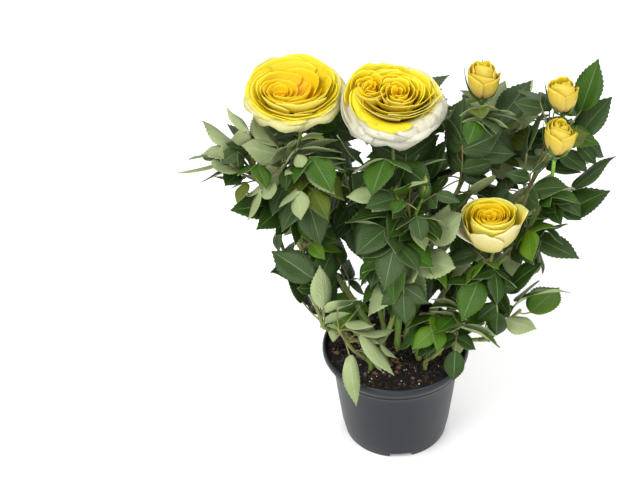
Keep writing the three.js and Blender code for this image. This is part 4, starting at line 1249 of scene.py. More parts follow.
class Finish:
    """A material that is made once, when it is first asked for."""

    made: dict["Finish", bpy.types.Material] = {}

    @property
    def material(self) -> bpy.types.Material:
        """The finish's material."""
        if self not in Finish.made:
            made = bpy.data.materials.new(self.name)
            made.use_nodes = True
            made.node_tree.nodes.clear()
            wiring = Wiring(made.node_tree)
            shader = wiring.add("ShaderNodeBsdfPrincipled", self.paint(wiring))
            wiring.add("ShaderNodeOutputMaterial", {0: shader.outputs[0]})
            Finish.made[self] = made
        return Finish.made[self]

    @staticmethod
    def shading(
        wiring: Wiring, tint: object, gloss: object, height: object, strength: float, distance: float
    ) -> dict[str, object]:
        """The shader's inputs that every finish has.

        Args:
            wiring: The material's wiring.
            tint: Its base colour.
            gloss: Its roughness.
            height: What its normal follows.
            strength: How strongly.
            distance: How high the relief is, in metres.

        Returns:
            The inputs by name.
        """
        bump = wiring.add("ShaderNodeBump", {"Height": height, "Strength": strength, "Distance": distance})
        return {"Base Color": tint, "Roughness": gloss, "Normal": bump.outputs[0]}


@dataclass(frozen=True)
class LeafFinish(Finish):
    """The face of a leaf: its colour, the patches in it, its veins and its gloss."""

    name: str
    face: Colour
    patches: Colour
    vein: Colour
    vein_share: float = 0.26
    gloss_low: float = 0.42
    gloss_high: float = 0.58
    relief: float = 0.34

    def paint(self, wiring: Wiring) -> dict[str, object]:
        """Wires the leaf's colours, veins and gloss."""
        patches = EFFECTS.use(wiring, Effect.MOTTLE, Scale=55.0, Low=self.face, High=self.patches, Softness=0.22)
        veins = EFFECTS.use(wiring, Effect.VEINS, Count=7.0, Slope=0.5, Width=0.09, Wander=0.4)
        grain = EFFECTS.use(wiring, Effect.GRAIN, Scale=1400.0, Detail=2.0, Low=self.gloss_low, High=self.gloss_high)
        share = wiring.math("MULTIPLY", veins.outputs["Mask"], self.vein_share)
        tint = wiring.mix(share, patches.outputs["Color"], self.vein)
        height = wiring.math("MULTIPLY_ADD", grain.outputs["Height"], 0.15, veins.outputs["Height"])
        inputs = self.shading(wiring, tint, grain.outputs["Roughness"], height, self.relief, 0.0006)
        return {**inputs, "Specular IOR Level": 0.25}


@dataclass(frozen=True)
class PetalFinish(Finish):
    """A petal's colours from its foot to its lip, with the softness of a petal. Its deeper orange foot is partly
    painted shade.
    """

    name: str
    foot: Colour
    body: Colour
    lip: Colour
    reach: float = 0.5
    softness: float = 0.45

    def paint(self, wiring: Wiring) -> dict[str, object]:
        """Wires the petal's wash, streaks and soft scatter."""
        wash = EFFECTS.use(wiring, Effect.WASH, Foot=self.foot, Body=self.body, Lip=self.lip, Reach=self.reach)
        grain = EFFECTS.use(wiring, Effect.GRAIN, Scale=500.0, Detail=2.0, Low=0.48, High=0.62)
        color, height = wash.outputs["Color"], wash.outputs["Height"]
        return {
            **self.shading(wiring, color, grain.outputs["Roughness"], height, 0.25, 0.0006),
            "Specular IOR Level": 0.28,
            "Subsurface Weight": self.softness,
            "Subsurface Radius": (0.005, 0.0046, 0.0042),
            "Subsurface Scale": 0.35,
        }


@dataclass(frozen=True)
class StalkFinish(Finish):
    """The skin of a stem or a twig: two greens or browns in patches, and fine relief."""

    name: str
    low: Colour
    high: Colour
    patch_scale: float = 90.0
    gloss_low: float = 0.42
    gloss_high: float = 0.58
    relief: float = 0.35
    relief_scale: float = 900.0

    def paint(self, wiring: Wiring) -> dict[str, object]:
        """Wires the skin's patches and relief."""
        patches = EFFECTS.use(wiring, Effect.MOTTLE, Scale=self.patch_scale, Low=self.low, High=self.high, Softness=0.2)
        grain = EFFECTS.use(
            wiring, Effect.GRAIN, Scale=self.relief_scale, Detail=4.0, Low=self.gloss_low, High=self.gloss_high
        )
        gloss, height = grain.outputs["Roughness"], grain.outputs["Height"]
        return self.shading(wiring, patches.outputs["Color"], gloss, height, self.relief, 0.0007)


class LeafTint(Enum):
    """The tints that a whole spray of leaflets takes, two of them with painted light in them."""

    DEEP = "deep"
    # A duller blue-grey green for the upper leaves: painted sheen, the sky's glint on glossy leaves.
    BLUISH = "bluish"
    MID = "mid"
    # A bright saturated green: partly young leaves' own colour, partly painted light shining through the leaves.
    FRESH = "fresh"
    OLIVE = "olive"


LEAF_FINISHES = {
    tint: LeafFinish(f"leaf_{tint.value}", *(colour(*shade) for shade in shades))
    for tint, *shades in (
        (LeafTint.DEEP, (37, 65, 4), (28, 50, 3), (68, 94, 32)),
        (LeafTint.BLUISH, (54, 75, 34), (42, 62, 26), (86, 105, 64)),
        # The upper leaves' blue-grey green: painted sheen.
        (LeafTint.MID, (53, 88, 3), (38, 70, 2), (84, 115, 30)),
        # Bright green: partly young leaves' own colour, partly painted light shining through.
        (LeafTint.FRESH, (77, 112, 4), (56, 91, 3), (110, 138, 38)),
        (LeafTint.OLIVE, (86, 98, 22), (64, 80, 16), (118, 124, 52)),
    )
}
LEAF_BACK = LeafFinish(
    "leaf_back", colour(150, 162, 116), colour(128, 144, 94), colour(172, 182, 144), 0.35, 0.52, 0.68, 0.4
)
LEAF_RIB = StalkFinish("leaf_rib", colour(84, 112, 62), colour(68, 96, 48))


@dataclass
class LeafletForm:
    """The real leaflet that stands in a blade's place: an oval with a toothed edge."""

    STRIP_FINISHES = (0, 0, 1, 0, 0)
    BACK_FINISH = 2

    rows: int = 26
    columns: tuple[float, ...] = (-1, -0.52, -0.035, 0.035, 0.52, 1)
    width_share: float = 0.62
    tooth: float = 0.055
    lean: float = 0.016
    fold: float = 0.17
    puff: float = 0.035
    droop: float = 0.1
    wave: float = 0.04
    waves: float = 7.5
    thickness: float = 0.34
    widest: float = 0.43
    width_varies: Pair = (0.9, 1.08)
    fold_varies: Pair = (0.3, 1.5)
    wave_varies: Pair = (0.3, 1.3)
    droop_varies: Pair = (0.2, 1.9)
    twist_varies: Pair = (-0.25, 0.25)
    bow_varies: Pair = (-0.07, 0.07)

    def half_width(self, share: np.ndarray) -> np.ndarray:
        """Half the width at shares of the length, against the greatest: round at the root, pointed at the tip."""
        swell = np.sin(np.pi * share ** (math.log(0.5) / math.log(self.widest)))
        return np.maximum(swell, 0) ** (0.58 + 0.55 * share)

    def add_to(self, maker: MeshMaker, blade: Blade, numbers: SeededNumbers, flipped: bool) -> None:
        """Adds one leaflet.

        Args:
            maker: The mesh that takes it.
            blade: Its place.
            numbers: What varies it.
            flipped: Whether it shows its underside upwards.
        """
        share = np.linspace(0, 1, self.rows + 1)
        edge = self.half_width(share)
        tooth = np.where(np.arange(self.rows + 1) % 2 == 1, 1.0, -0.25) * np.sin(np.pi * share) ** 0.5
        across = np.array(self.columns)
        length = blade.length
        width = length * self.width_share * numbers.between(*self.width_varies)
        outer = (np.abs(across) == 1)[None, :]
        half = (edge[:, None] + outer * (tooth * self.tooth)[:, None]) * width / 2
        x = across * half
        y = (share[:, None] + outer * (tooth * self.lean)[:, None] + np.zeros(len(across))) * length
        fold = self.fold * numbers.between(*self.fold_varies)
        wave = np.sin(share * self.waves + numbers.between(*PHASES))[:, None] * np.abs(across) ** 2
        wave = wave * self.wave * width * numbers.between(*self.wave_varies)
        bend = numbers.between(*self.droop_varies) * self.droop
        puff = np.sin(np.pi * np.abs(across)) * self.puff * half
        z = np.abs(x) * fold + wave + puff - bend * length * (share**2)[:, None]
        twist = (share * numbers.between(*self.twist_varies))[:, None]
        z = z + x * np.sin(twist)
        x = x * np.cos(twist) + (share**2 * numbers.between(*self.bow_varies) * length)[:, None]
        side, normal = (-blade.side, -blade.normal) if flipped else (blade.side, blade.normal)
        grid = blade.root + x[..., None] * -side + y[..., None] * blade.along + z[..., None] * normal
        normals = grid_normals(grid)
        if dot(normals.mean((0, 1)), normal) < 0:
            grid = grid[:, ::-1]
            normals = grid_normals(grid)
        u, v = np.meshgrid((across + 1) / 2, share)
        strips = np.tile(self.STRIP_FINISHES, self.rows)
        taper = self.thickness * (1 - 0.5 * np.abs(across))[None, :] + np.zeros((self.rows + 1, 1))
        shell(maker, grid, normals, taper, np.stack([u, v], -1), strips, self.BACK_FINISH)


@dataclass
class Foliage:
    """All leaves and twigs, grown by the rule and joined by kind."""

    total: int = 850
    form: LeafletForm = field(default_factory=LeafletForm)
    growth: Growth = field(default_factory=Growth)
    numbers: SeededNumbers = field(default_factory=lambda: SeededNumbers(77))
    turned_share: float = 0.1
    turned_share_left: float = 0.24
    outer_left: float = -70
    hanging_mass: str = "foliage_front_left"
    slender_share: float = 0.38
    limit: int = 180000
    axis_radii: Pair = (1.9, 1.3)
    shoot_radii: Pair = (1.2, 0.8)
    stalk_radii: Pair = (1.1, 1.6)
    small_flower: float = 8
    crown_middle: float = 30
    crown_reach: float = 150
    low_height: float = 150
    low_reach: float = 70
    top_share: float = 0.62
    outer_share: float = 0.75
    row_every: float = 5
    fewest_rows: int = 4
    stalk_taper: float = 0.9
    leaf_stalk_radius: float = 0.62
    leaf_stalk_foot: float = 0.5

    def tint(self, leaf: Leaf, order: float) -> LeafTint:
        """The tint of a spray: brighter low and inside, partly painted light shining through; painted blue-grey sheen
        and darker above.
        """
        x, y, z = leaf.points[-1]
        foot = CROWN_LEVELS[0][0]
        height = (z - foot) / (CROWN_TOP - foot)
        reach = math.hypot(x, y - self.crown_middle) / self.crown_reach
        if z < self.low_height and math.hypot(x, y) < self.low_reach:
            choices = [LeafTint.FRESH, LeafTint.MID, LeafTint.MID, LeafTint.DEEP]
        elif height > self.top_share:
            choices = [LeafTint.BLUISH, LeafTint.DEEP, LeafTint.BLUISH, LeafTint.MID, LeafTint.OLIVE]
        elif reach > self.outer_share:
            choices = [LeafTint.BLUISH, LeafTint.DEEP, LeafTint.MID, LeafTint.DEEP, LeafTint.OLIVE]
        else:
            choices = [LeafTint.DEEP, LeafTint.MID, LeafTint.DEEP, LeafTint.FRESH, LeafTint.BLUISH]
        return choices[int(order * len(choices))]

    def build(self) -> None:
        """Grows the masses and makes their pieces."""
        masses = self.growth.grow(self.total)
        makers = {tint: [MeshMaker()] for tint in LeafTint}
        leaflets = 0
        slender = replace(self.form, width_share=self.slender_share)
        for mass, leaf in ((mass, leaf) for mass in masses for leaf in mass.leaves):
            tint = self.tint(leaf, self.numbers.draw())
            at_left = leaf.points[-1][0] < self.outer_left
            flipped = self.numbers.draw() < (self.turned_share_left if at_left else self.turned_share)
            hangs = mass.name == self.hanging_mass
            if makers[tint][-1].triangles > self.limit:
                makers[tint].append(MeshMaker())
            form = slender if hangs else self.form
            for blade in leaf.blades:
                form.add_to(makers[tint][-1], blade, self.numbers, flipped or hangs)
            leaflets += len(leaf.blades)
        log.info("%d leaflets", leaflets)
        for tint, parts in makers.items():
            finishes = [LEAF_FINISHES[tint].material, LEAF_RIB.material, LEAF_BACK.material]
            for order, maker in enumerate(parts):
                if maker.points:
                    maker.build(f"leaves_{tint.value}_{order + 1}", Slot.FOLIAGE, (), finishes)
        twigs = MeshMaker()
        for mass in masses:
            self.tapering(twigs, mass.curve, self.axis_radii, sides=8, finish=0)
            for shoot in mass.shoots:
                self.tapering(twigs, shoot, self.shoot_radii, sides=6, finish=0)
            for leaf in mass.leaves:
                self.leaf_stalk(twigs, leaf)
        for name, flower in FLOWERS.items():
            thick = self.stalk_radii[flower.radius >= self.small_flower]
            stalk = stalk_curve(name, self.growth.axes)
            self.tapering(twigs, stalk, (thick, thick * self.stalk_taper), sides=10, finish=2)
        finishes = [TWIG.material, LEAF_STALK.material, FLOWER_STALK.material]
        twigs.build("twigs", Slot.STEMS, tuple(MASSES), finishes)

    def tapering(self, maker: MeshMaker, curve: Curve, radii: Pair, sides: int, finish: int) -> None:
        """Adds a tapering twig along a curve."""
        share = np.linspace(0, 1, max(self.fewest_rows, int(curve.length / self.row_every)) + 1)
        tube(maker, curve.at(share), radii[0] + (radii[1] - radii[0]) * share, sides, finish)

    def leaf_stalk(self, maker: MeshMaker, leaf: Leaf) -> None:
        """Adds a leaf's stalk, which thickens at its foot."""
        share = np.linspace(0, 1, 7)
        radii = self.leaf_stalk_radius + self.leaf_stalk_foot * np.exp(-share * 9)
        tube(maker, Curve(leaf.points).at(share), radii, sides=5, finish=1)


TWIG = StalkFinish("twig_skin", colour(96, 128, 52), colour(118, 110, 60))
LEAF_STALK = StalkFinish("leaf_stalk_skin", colour(102, 126, 58), colour(122, 84, 56))
FLOWER_STALK = StalkFinish("flower_stalk_skin", colour(124, 166, 44), colour(104, 148, 40), 90.0, 0.36, 0.46)
CANE = StalkFinish("cane_skin", colour(108, 146, 54), colour(124, 124, 68), 70.0, relief=0.6)
BARK = StalkFinish("stump_bark", colour(116, 122, 66), colour(82, 66, 46), 130.0, 0.7, 0.88, 1.0, 520.0)
PRICKLE = StalkFinish("prickle_skin", colour(126, 74, 52), colour(150, 104, 70))


@dataclass
class Canes:
    """The stems that rise from the soil, with node rings and prickles, and the stump of the front pair."""

    sides: int = 12
    row_every: float = 2.2
    ring_every: float = 17
    ring_height: float = 0.35
    prickle_every: float = 11
    prickle_varies: Pair = (0.7, 1.6)
    prickle_first: float = 0.6
    prickle_end: float = 4
    cane_bumps: float = 0.07
    stump_bumps: float = 0.3
    arm_bumps: float = 0.16
    flare: float = 0.7
    numbers: SeededNumbers = field(default_factory=lambda: SeededNumbers(31))

    def relief(self, share: np.ndarray, length: float, depth: float) -> np.ndarray:
        """Bark relief along a stem: node rings and slight bumps."""
        rows = np.exp(-(((share * length) % self.ring_every - self.ring_every / 2) ** 2) / 1.6) * self.ring_height
        bumps = np.array([[self.numbers.between(-depth, depth) for _ in range(self.sides)] for _ in share])
        return rows[:, None] + bumps

    def prickle(self, maker: MeshMaker, curve: Curve, share: float, radius: float) -> None:
        """Adds one small hooked prickle on a stem."""
        spot = curve.at(share)
        along = curve.tangent_at(share)
        out = unit(np.cross(along, turned(RIGHT, UP, self.numbers.between(0, 360))))
        foot = spot + out * radius * 0.8
        spots = np.array([foot, foot + out * 1.1 - along * 0.2, foot + out * 2.0 - along * 0.9])
        tube(maker, spots, np.array([0.7, 0.4, 0.08]), sides=6, finish=1)

    def build(self) -> None:
        """Makes the stems and the stump."""
        canes = MeshMaker()
        for plan in STEMS.values():
            curve = Curve(plan.points)
            share = np.linspace(0, 1, int(curve.length / self.row_every) + 2)
            radii = plan.radii[0] + (plan.radii[1] - plan.radii[0]) * share
            tube(canes, curve.at(share), radii, self.sides, 0, self.relief(share, curve.length, self.cane_bumps))
            place = self.prickle_every * self.prickle_first
            while place < curve.length - self.prickle_end:
                self.prickle(canes, curve, place / curve.length, plan.radii[0])
                place += self.prickle_every * self.numbers.between(*self.prickle_varies)
        canes.build("canes", Slot.STEMS, tuple(STEMS), [CANE.material, PRICKLE.material])
        stump = MeshMaker()
        foot, fork = np.array(TRUNK_FOOT), np.array(TRUNK_FORK)
        share = np.linspace(0, 1, 12)
        spots = foot + (fork - foot) * share[:, None]
        radii = TRUNK_RADII[0] + (TRUNK_RADII[1] - TRUNK_RADII[0]) * share + self.flare * np.exp(-share * 7)
        tube(stump, spots, radii, self.sides, 0, self.relief(share, 14, self.stump_bumps))
        for name in TRUNK_ARMS:
            end = np.array(STEMS[name].points[0], float)
            arm = Curve([fork - UP * 2, fork + (end - fork) * 0.5 + UP * 0.6, end])
            share = np.linspace(0, 1, 10)
            radii = TRUNK_ARM_RADIUS + 0.3 - 0.3 * share
            tube(stump, arm.at(share), radii, self.sides, 0, self.relief(share, arm.length, self.arm_bumps))
        stump.build("stump", Slot.TRUNK, ("trunk",), [BARK.material])


@dataclass(frozen=True)
class Ring:
    """A ring of petals.

    Lengths are shares of the flower's radius, pairs are (outward, upward), and finish counts its flower's finishes.
    """

    count: int
    foot: Pair
    belly: Pair
    shoulder: Pair
    lip: Pair
    spread: float
    turn: float
    finish: int
    ruffle: float = 0.03
    rounding: float = 0.22
    nest: float = 0.07
    notch: float = 0.0
    uneven: float = 0.08
    curl: float = 0.02
    shift: Pair = (0.0, 0.0)
    slope: float = 0.0
    arc: float = 360.0


@dataclass
class Bloom:
    """A flower head: rings of petals in a calyx."""

    SEPALS = 5

    name: str
    rings: Sequence[Ring]
    finishes: Sequence[Finish]
    seed: int
    rows: int = 14
    columns: int = 13
    thickness: float = 0.42
    sepal_path: tuple[Pair, ...] = ((0.06, -0.6), (0.3, -0.68), (0.5, -0.66), (0.7, -0.62))
    sepal_width: float = 6.0
    stretch: float = 1.0
    lean: float = 0.0
    front_share: float = 1.0
    spread_varies: Pair = (0.92, 1.08)
    turn_varies: float = 7
    ripple_waves: Pair = (2.2, 3.6)
    sepal_first: float = 18
    sepal_turn_varies: float = 9
    sepal_length_varies: Pair = (0.86, 1.12)

    def frame(self) -> tuple[np.ndarray, np.ndarray, float]:
        """The head's centre, its three axes as rows and its radius."""
        plan = FLOWERS[self.name]
        axis = unit(np.array(plan.faces, float))
        side = unit(np.cross([0.0, 1.0, 0.0], axis))
        return np.array(plan.centre, float), np.array([side, np.cross(axis, side), axis]), plan.radius

    def petal(self, maker: MeshMaker, ring: Ring, order: int, numbers: SeededNumbers) -> None:
        """Adds one petal.

        Args:
            maker: The mesh that takes it.
            ring: Its ring.
            order: Its number in the ring.
            numbers: What varies it.
        """
        centre, axes, radius = self.frame()
        grow = 1 + numbers.between(-ring.uneven, ring.uneven)
        across = np.linspace(-1, 1, self.columns)[None, :]
        up = np.linspace(0, 1, self.rows)[:, None]
        reach = 1 - ring.rounding * np.abs(across) ** 2.6 - ring.notch * np.exp(-((across / 0.22) ** 2))
        share = up * reach * grow
        weights = [(1 - share) ** 3, 3 * share * (1 - share) ** 2, 3 * share**2 * (1 - share), share**3]
        corners = (ring.foot, ring.belly, ring.shoulder, ring.lip)
        out = sum(weight * corner[0] for weight, corner in zip(weights, corners))
        rise = sum(weight * corner[1] for weight, corner in zip(weights, corners))
        narrow = 0.35 + 0.65 * np.sin(np.pi / 2 * np.minimum(1, share * 1.6))
        half = math.radians(ring.spread * numbers.between(*self.spread_varies))
        turn = ring.turn + order * ring.arc / ring.count + numbers.between(-self.turn_varies, self.turn_varies)
        angle = math.radians(turn) + across * half * narrow
        phase = numbers.between(*PHASES)
        ripple = np.sin(across * numbers.between(*self.ripple_waves) + phase) * share**3 * ring.ruffle
        fine = np.sin(across * 8 + phase * 2) * share**5 * ring.ruffle * 0.5
        out = out + across * ring.nest * (0.4 + 0.6 * share) + ripple * 0.6 + ring.curl * share**8
        rise = rise + ripple + fine - ring.curl * 0.6 * share**12 - ring.slope * share**2 * np.sin(angle)
        aside = ring.shift[0] + self.lean * (rise - ring.foot[1])
        place = (out * np.cos(angle) + aside, out * np.sin(angle) + ring.shift[1], rise * self.stretch + out * 0)
        local = np.stack(place, -1)
        grid = centre + (local * radius) @ axes
        normals = grid_normals(grid)
        thin = self.thickness * (1.15 - 0.75 * np.broadcast_to(up, grid.shape[:2]) ** 2)
        u = np.broadcast_to((across + 1) / 2, grid.shape[:2])
        v = np.broadcast_to(up * reach, grid.shape[:2])
        surface = np.stack([u, v], -1)
        inside = ring.finish * 2
        shell(maker, grid + normals * thin[..., None] / 2, normals, thin, surface, inside + 1, inside)

    def sepals(self, maker: MeshMaker, numbers: SeededNumbers) -> None:
        """Adds the hip under the petals and the five sepals round it."""
        centre, axes, radius = self.frame()
        low = FLOWERS[self.name].foot * self.stretch
        finish = len(self.finishes) * 2
        bulge = min(0.2 * radius, 4.2)
        height = bulge * 2.3
        share = np.linspace(0, 1, 8)
        foot = centre + axes[2] * low * radius
        spots = foot + axes[2] * (share * height - height * 0.1)[:, None]
        tube(maker, spots, bulge * (0.42 + 0.62 * np.sin(np.pi * share**0.8)), 14, finish)
        for order in range(self.SEPALS):
            turn = self.sepal_first + numbers.between(-self.sepal_turn_varies, self.sepal_turn_varies)
            angle = math.radians(order * 360 / self.SEPALS + turn)
            out = axes[0] * math.cos(angle) + axes[1] * math.sin(angle)
            tall = numbers.between(*self.sepal_length_varies) * self.stretch
            foot_rise = self.sepal_path[0][1]
            aside = axes[0] * self.lean
            path = [
                centre + (out * reach + axes[2] * rise * tall + aside * (rise - foot_rise)) * radius
                for reach, rise in self.sepal_path
            ]
            rows = np.linspace(0, 1, 11)
            reached = rows * (self.front_share if math.sin(angle) < -0.3 else 1.0)
            across = np.array([-1, -0.4, 0.4, 1])
            wide = self.sepal_width / 2 * (1 - rows) ** 0.8 * (0.55 + 0.75 * np.sin(np.pi * rows**0.7))
            side = np.cross(axes[2], out)
            grid = Curve(path).at(reached)[:, None] + side * (across[None, :, None] * wide[:, None, None])
            grid = grid - out * (np.abs(across)[None, :, None] * wide[:, None, None] * 0.3)
            u, v = np.meshgrid((across + 1) / 2, rows)
            shell(maker, grid, grid_normals(grid), 0.3, np.stack([u, v], -1), finish, finish)

    def build(self) -> None:
        """Makes the flower head."""
        numbers = SeededNumbers(self.seed)
        maker = MeshMaker()
        for ring in self.rings:
            for order in range(ring.count):
                self.petal(maker, ring, order, numbers)
        self.sepals(maker, numbers)
        finishes = [finish.material for pair in self.finishes for finish in pair]
        maker.build(f"{self.name}_petals", Slot.FLOWERS, (self.name,), [*finishes, SEPAL.material])


SEPAL = StalkFinish("sepal_skin", colour(86, 122, 46), colour(64, 98, 40))


def petal_pair(name: str, reach: float, back_reach: float, *tints: Point) -> tuple[PetalFinish, PetalFinish]:
    """A petal's inner and outer finish, each from the tints of its foot, its body and its lip. Each foot tint is partly
    painted shade for the folds.
    """
    inner, outer = ([colour(*tint) for tint in tints[at : at + 3]] for at in (0, 3))
    return PetalFinish(name, *inner, reach), PetalFinish(f"{name}_back", *outer, back_reach)


# The foot tints are deeper and more orange than the bodies: partly the petals' own colour, partly painted shade, the
# warm tone of the shaded folds at the foot.
GOLD = petal_pair(
    "petal_gold", 0.5, 0.5,
    (221, 150, 4), (225, 179, 8), (225, 188, 16),
    (214, 160, 6), (219, 184, 14), (221, 194, 34),
)
YELLOW = petal_pair(
    "petal_yellow", 0.55, 0.5,
    (220, 165, 5), (224, 193, 12), (225, 203, 38),
    (213, 184, 15), (218, 198, 48), (222, 207, 92),
)
BUTTER = petal_pair(
    "petal_butter", 0.66, 0.5,
    (211, 176, 6), (218, 198, 30), (222, 212, 116),
    (204, 188, 64), (208, 196, 109), (210, 203, 145),
)
CREAM = petal_pair(
    "petal_cream", 0.42, 0.4,
    (194, 171, 20), (199, 185, 81), (202, 195, 136),
    (194, 176, 66), (198, 183, 98), (202, 191, 136),
)
IVORY = petal_pair(
    "petal_ivory", 0.42, 0.4,
    (198, 185, 83), (203, 197, 146), (206, 202, 182),
    (200, 192, 137), (204, 199, 171), (207, 203, 193),
)
BLUSH = petal_pair(
    "petal_bud", 0.5, 0.62,
    (201, 145, 8), (208, 173, 14), (211, 184, 28),
    (196, 154, 118), (198, 170, 76), (198, 172, 42),
)
BLOOM_FINISHES = (GOLD, YELLOW, BUTTER, CREAM, IVORY)
BOWL_RINGS = (
    Ring(4, (0.06, -0.5), (0.6, -0.52), (0.84, 0.12), (0.98, -0.2), 40, 190, 3, 0.05, 0.08, 0.03, 0.05, 0.04,
         slope=-0.03, arc=210),
    Ring(3, (0.06, -0.5), (0.6, -0.56), (0.92, -0.3), (0.95, -0.1), 44, 40, 3, 0.03, 0.16, 0.04, 0, 0.03, arc=150),
    Ring(1, (0.06, -0.5), (0.6, -0.56), (0.92, -0.2), (0.96, 0.02), 34, 132, 3, 0.03, 0.2, 0.04, 0, 0.03),
    Ring(4, (0.06, -0.46), (0.6, -0.4), (0.84, 0.06), (0.94, -0.12), 46, 175, 2, 0.04, 0.1, 0.03, 0.04, 0.04, arc=250),
    Ring(1, (0.06, -0.42), (0.58, -0.5), (0.88, -0.12), (0.87, 0.06), 50, 55, 1, 0.02, 0.14, 0.04, 0, 0.02),
    Ring(1, (0.06, -0.42), (0.58, -0.5), (0.88, -0.12), (0.86, 0.08), 50, 122, 1, 0.02, 0.16, 0.04, 0, 0.02),
    Ring(4, (0.06, -0.42), (0.58, -0.42), (0.84, -0.02), (0.89, -0.03), 46, 170, 1, 0.03, 0.12, 0.04, 0.03, 0.04,
         arc=240),
    Ring(5, (0.06, -0.4), (0.56, -0.42), (0.78, -0.12), (0.81, 0.03), 48, 34, 1, 0.02, 0.12, 0.05, slope=0.02),
    Ring(4, (0.05, -0.38), (0.5, -0.4), (0.68, -0.14), (0.69, 0.08), 46, 165, 1, 0.02, 0.16, 0.06, slope=0.07, arc=240),
    Ring(4, (0.05, -0.36), (0.42, -0.38), (0.56, -0.16), (0.56, 0.04), 60, 40, 0, 0.02, 0.14, 0.07,
         slope=0.1, shift=(-0.06, 0)),
    Ring(3, (0.05, -0.34), (0.33, -0.36), (0.44, -0.2), (0.43, 0), 56, 150, 0, 0.02, 0.18, 0.07,
         slope=0.08, shift=(-0.13, 0), arc=270),
    Ring(3, (0.04, -0.32), (0.22, -0.34), (0.31, -0.22), (0.3, -0.05), 76, 50, 0, 0.02, 0.16, 0.07,
         slope=0.06, shift=(-0.19, -0.02)),
    Ring(3, (0.03, -0.3), (0.13, -0.32), (0.19, -0.22), (0.17, -0.1), 78, 100, 0, 0.02, 0.18, 0.06,
         shift=(-0.24, -0.03)),
    Ring(3, (0.02, -0.28), (0.06, -0.3), (0.1, -0.22), (0.07, -0.14), 82, 0, 0, 0.01, 0.18, 0.04, shift=(-0.26, -0.04)),
)
QUARTERED_RINGS = (
    Ring(4, (0.06, -0.5), (0.5, -0.38), (0.74, 0.18), (0.93, -0.17), 42, 205, 4, 0.06, 0.08, 0.03, 0.05, 0.05, arc=220),
    Ring(3, (0.06, -0.5), (0.6, -0.56), (0.92, -0.26), (0.94, -0.06), 48, 50, 4, 0.03, 0.16, 0.04, 0, 0.03, arc=190),
    Ring(3, (0.06, -0.45), (0.45, -0.2), (0.66, 0.26), (0.86, -0.05), 46, 258, 4, 0.05, 0.1, 0.03, 0.04, 0.05, arc=96),
    Ring(2, (0.06, -0.4), (0.45, -0.15), (0.62, 0.25), (0.79, 0.08), 40, 206, 1, 0.03, 0.14, 0.03, 0.02, 0.04, arc=84),
    Ring(1, (0.06, -0.45), (0.6, -0.5), (0.9, -0.1), (0.9, 0.08), 36, 178, 4, 0.03, 0.18, 0.04),
    Ring(1, (0.06, -0.45), (0.58, -0.5), (0.86, -0.05), (0.85, 0.22), 36, 142, 1, 0.03, 0.16, 0.05, 0, 0.03),
    Ring(1, (0.06, -0.45), (0.56, -0.5), (0.8, -0.1), (0.8, 0.13), 36, 96, 1, 0.03, 0.16, 0.05, 0, 0.03),
    Ring(1, (0.06, -0.45), (0.56, -0.5), (0.82, -0.15), (0.82, 0.02), 42, 48, 2, 0.03, 0.16, 0.05, 0, 0.03),
    Ring(1, (0.06, -0.42), (0.52, -0.4), (0.76, -0.1), (0.82, 0.02), 44, 4, 2, 0.03, 0.14, 0.05),
    Ring(4, (0.06, -0.42), (0.5, -0.4), (0.7, -0.06), (0.73, 0.1), 40, 8, 1, 0.03, 0.14, 0.05, arc=215),
    Ring(4, (0.06, -0.42), (0.46, -0.4), (0.64, -0.06), (0.65, 0.14), 40, 2, 1, 0.03, 0.14, 0.05, arc=220),
    Ring(3, (0.06, -0.4), (0.4, -0.36), (0.54, -0.04), (0.54, 0.15), 46, 60, 0, 0.03, 0.14, 0.05, arc=180),
    Ring(2, (0.1, -0.4), (0.6, -0.3), (0.78, 0.14), (0.79, 0.2), 42, 242, 2, 0.03, 0.1, 0.06, 0, 0.04,
         shift=(0, 0.28), arc=110),
    Ring(1, (0.1, -0.4), (0.6, -0.35), (0.78, 0.06), (0.81, 0.14), 50, 286, 1, 0.03, 0.1, 0.06, 0, 0.04,
         shift=(0.03, 0.32)),
    Ring(1, (0.1, -0.4), (0.6, -0.35), (0.76, 0.06), (0.78, 0.16), 48, 246, 1, 0.03, 0.1, 0.06, 0, 0.04,
         shift=(-0.03, 0.33)),
    Ring(1, (0.1, -0.4), (0.55, -0.35), (0.7, 0.06), (0.73, 0.18), 52, 268, 1, 0.03, 0.1, 0.06, 0, 0.04,
         shift=(0, 0.34)),
    Ring(1, (0.1, -0.4), (0.5, -0.32), (0.63, 0.06), (0.66, 0.2), 46, 290, 1, 0.03, 0.1, 0.06, 0, 0.04,
         shift=(0.04, 0.35)),
    Ring(1, (0.1, -0.4), (0.45, -0.3), (0.56, 0.06), (0.59, 0.2), 50, 250, 0, 0.03, 0.1, 0.06, 0, 0.04,
         shift=(0, 0.35)),
    Ring(3, (0.06, -0.4), (0.28, -0.3), (0.4, 0.02), (0.42, 0.17), 52, 338, 1, 0.03, 0.14, 0.05,
         shift=(0.08, 0.08), arc=120),
    Ring(2, (0.06, -0.4), (0.2, -0.3), (0.3, 0.02), (0.31, 0.16), 56, 352, 0, 0.03, 0.14, 0.05,
         shift=(0.08, 0.1), arc=100),
)
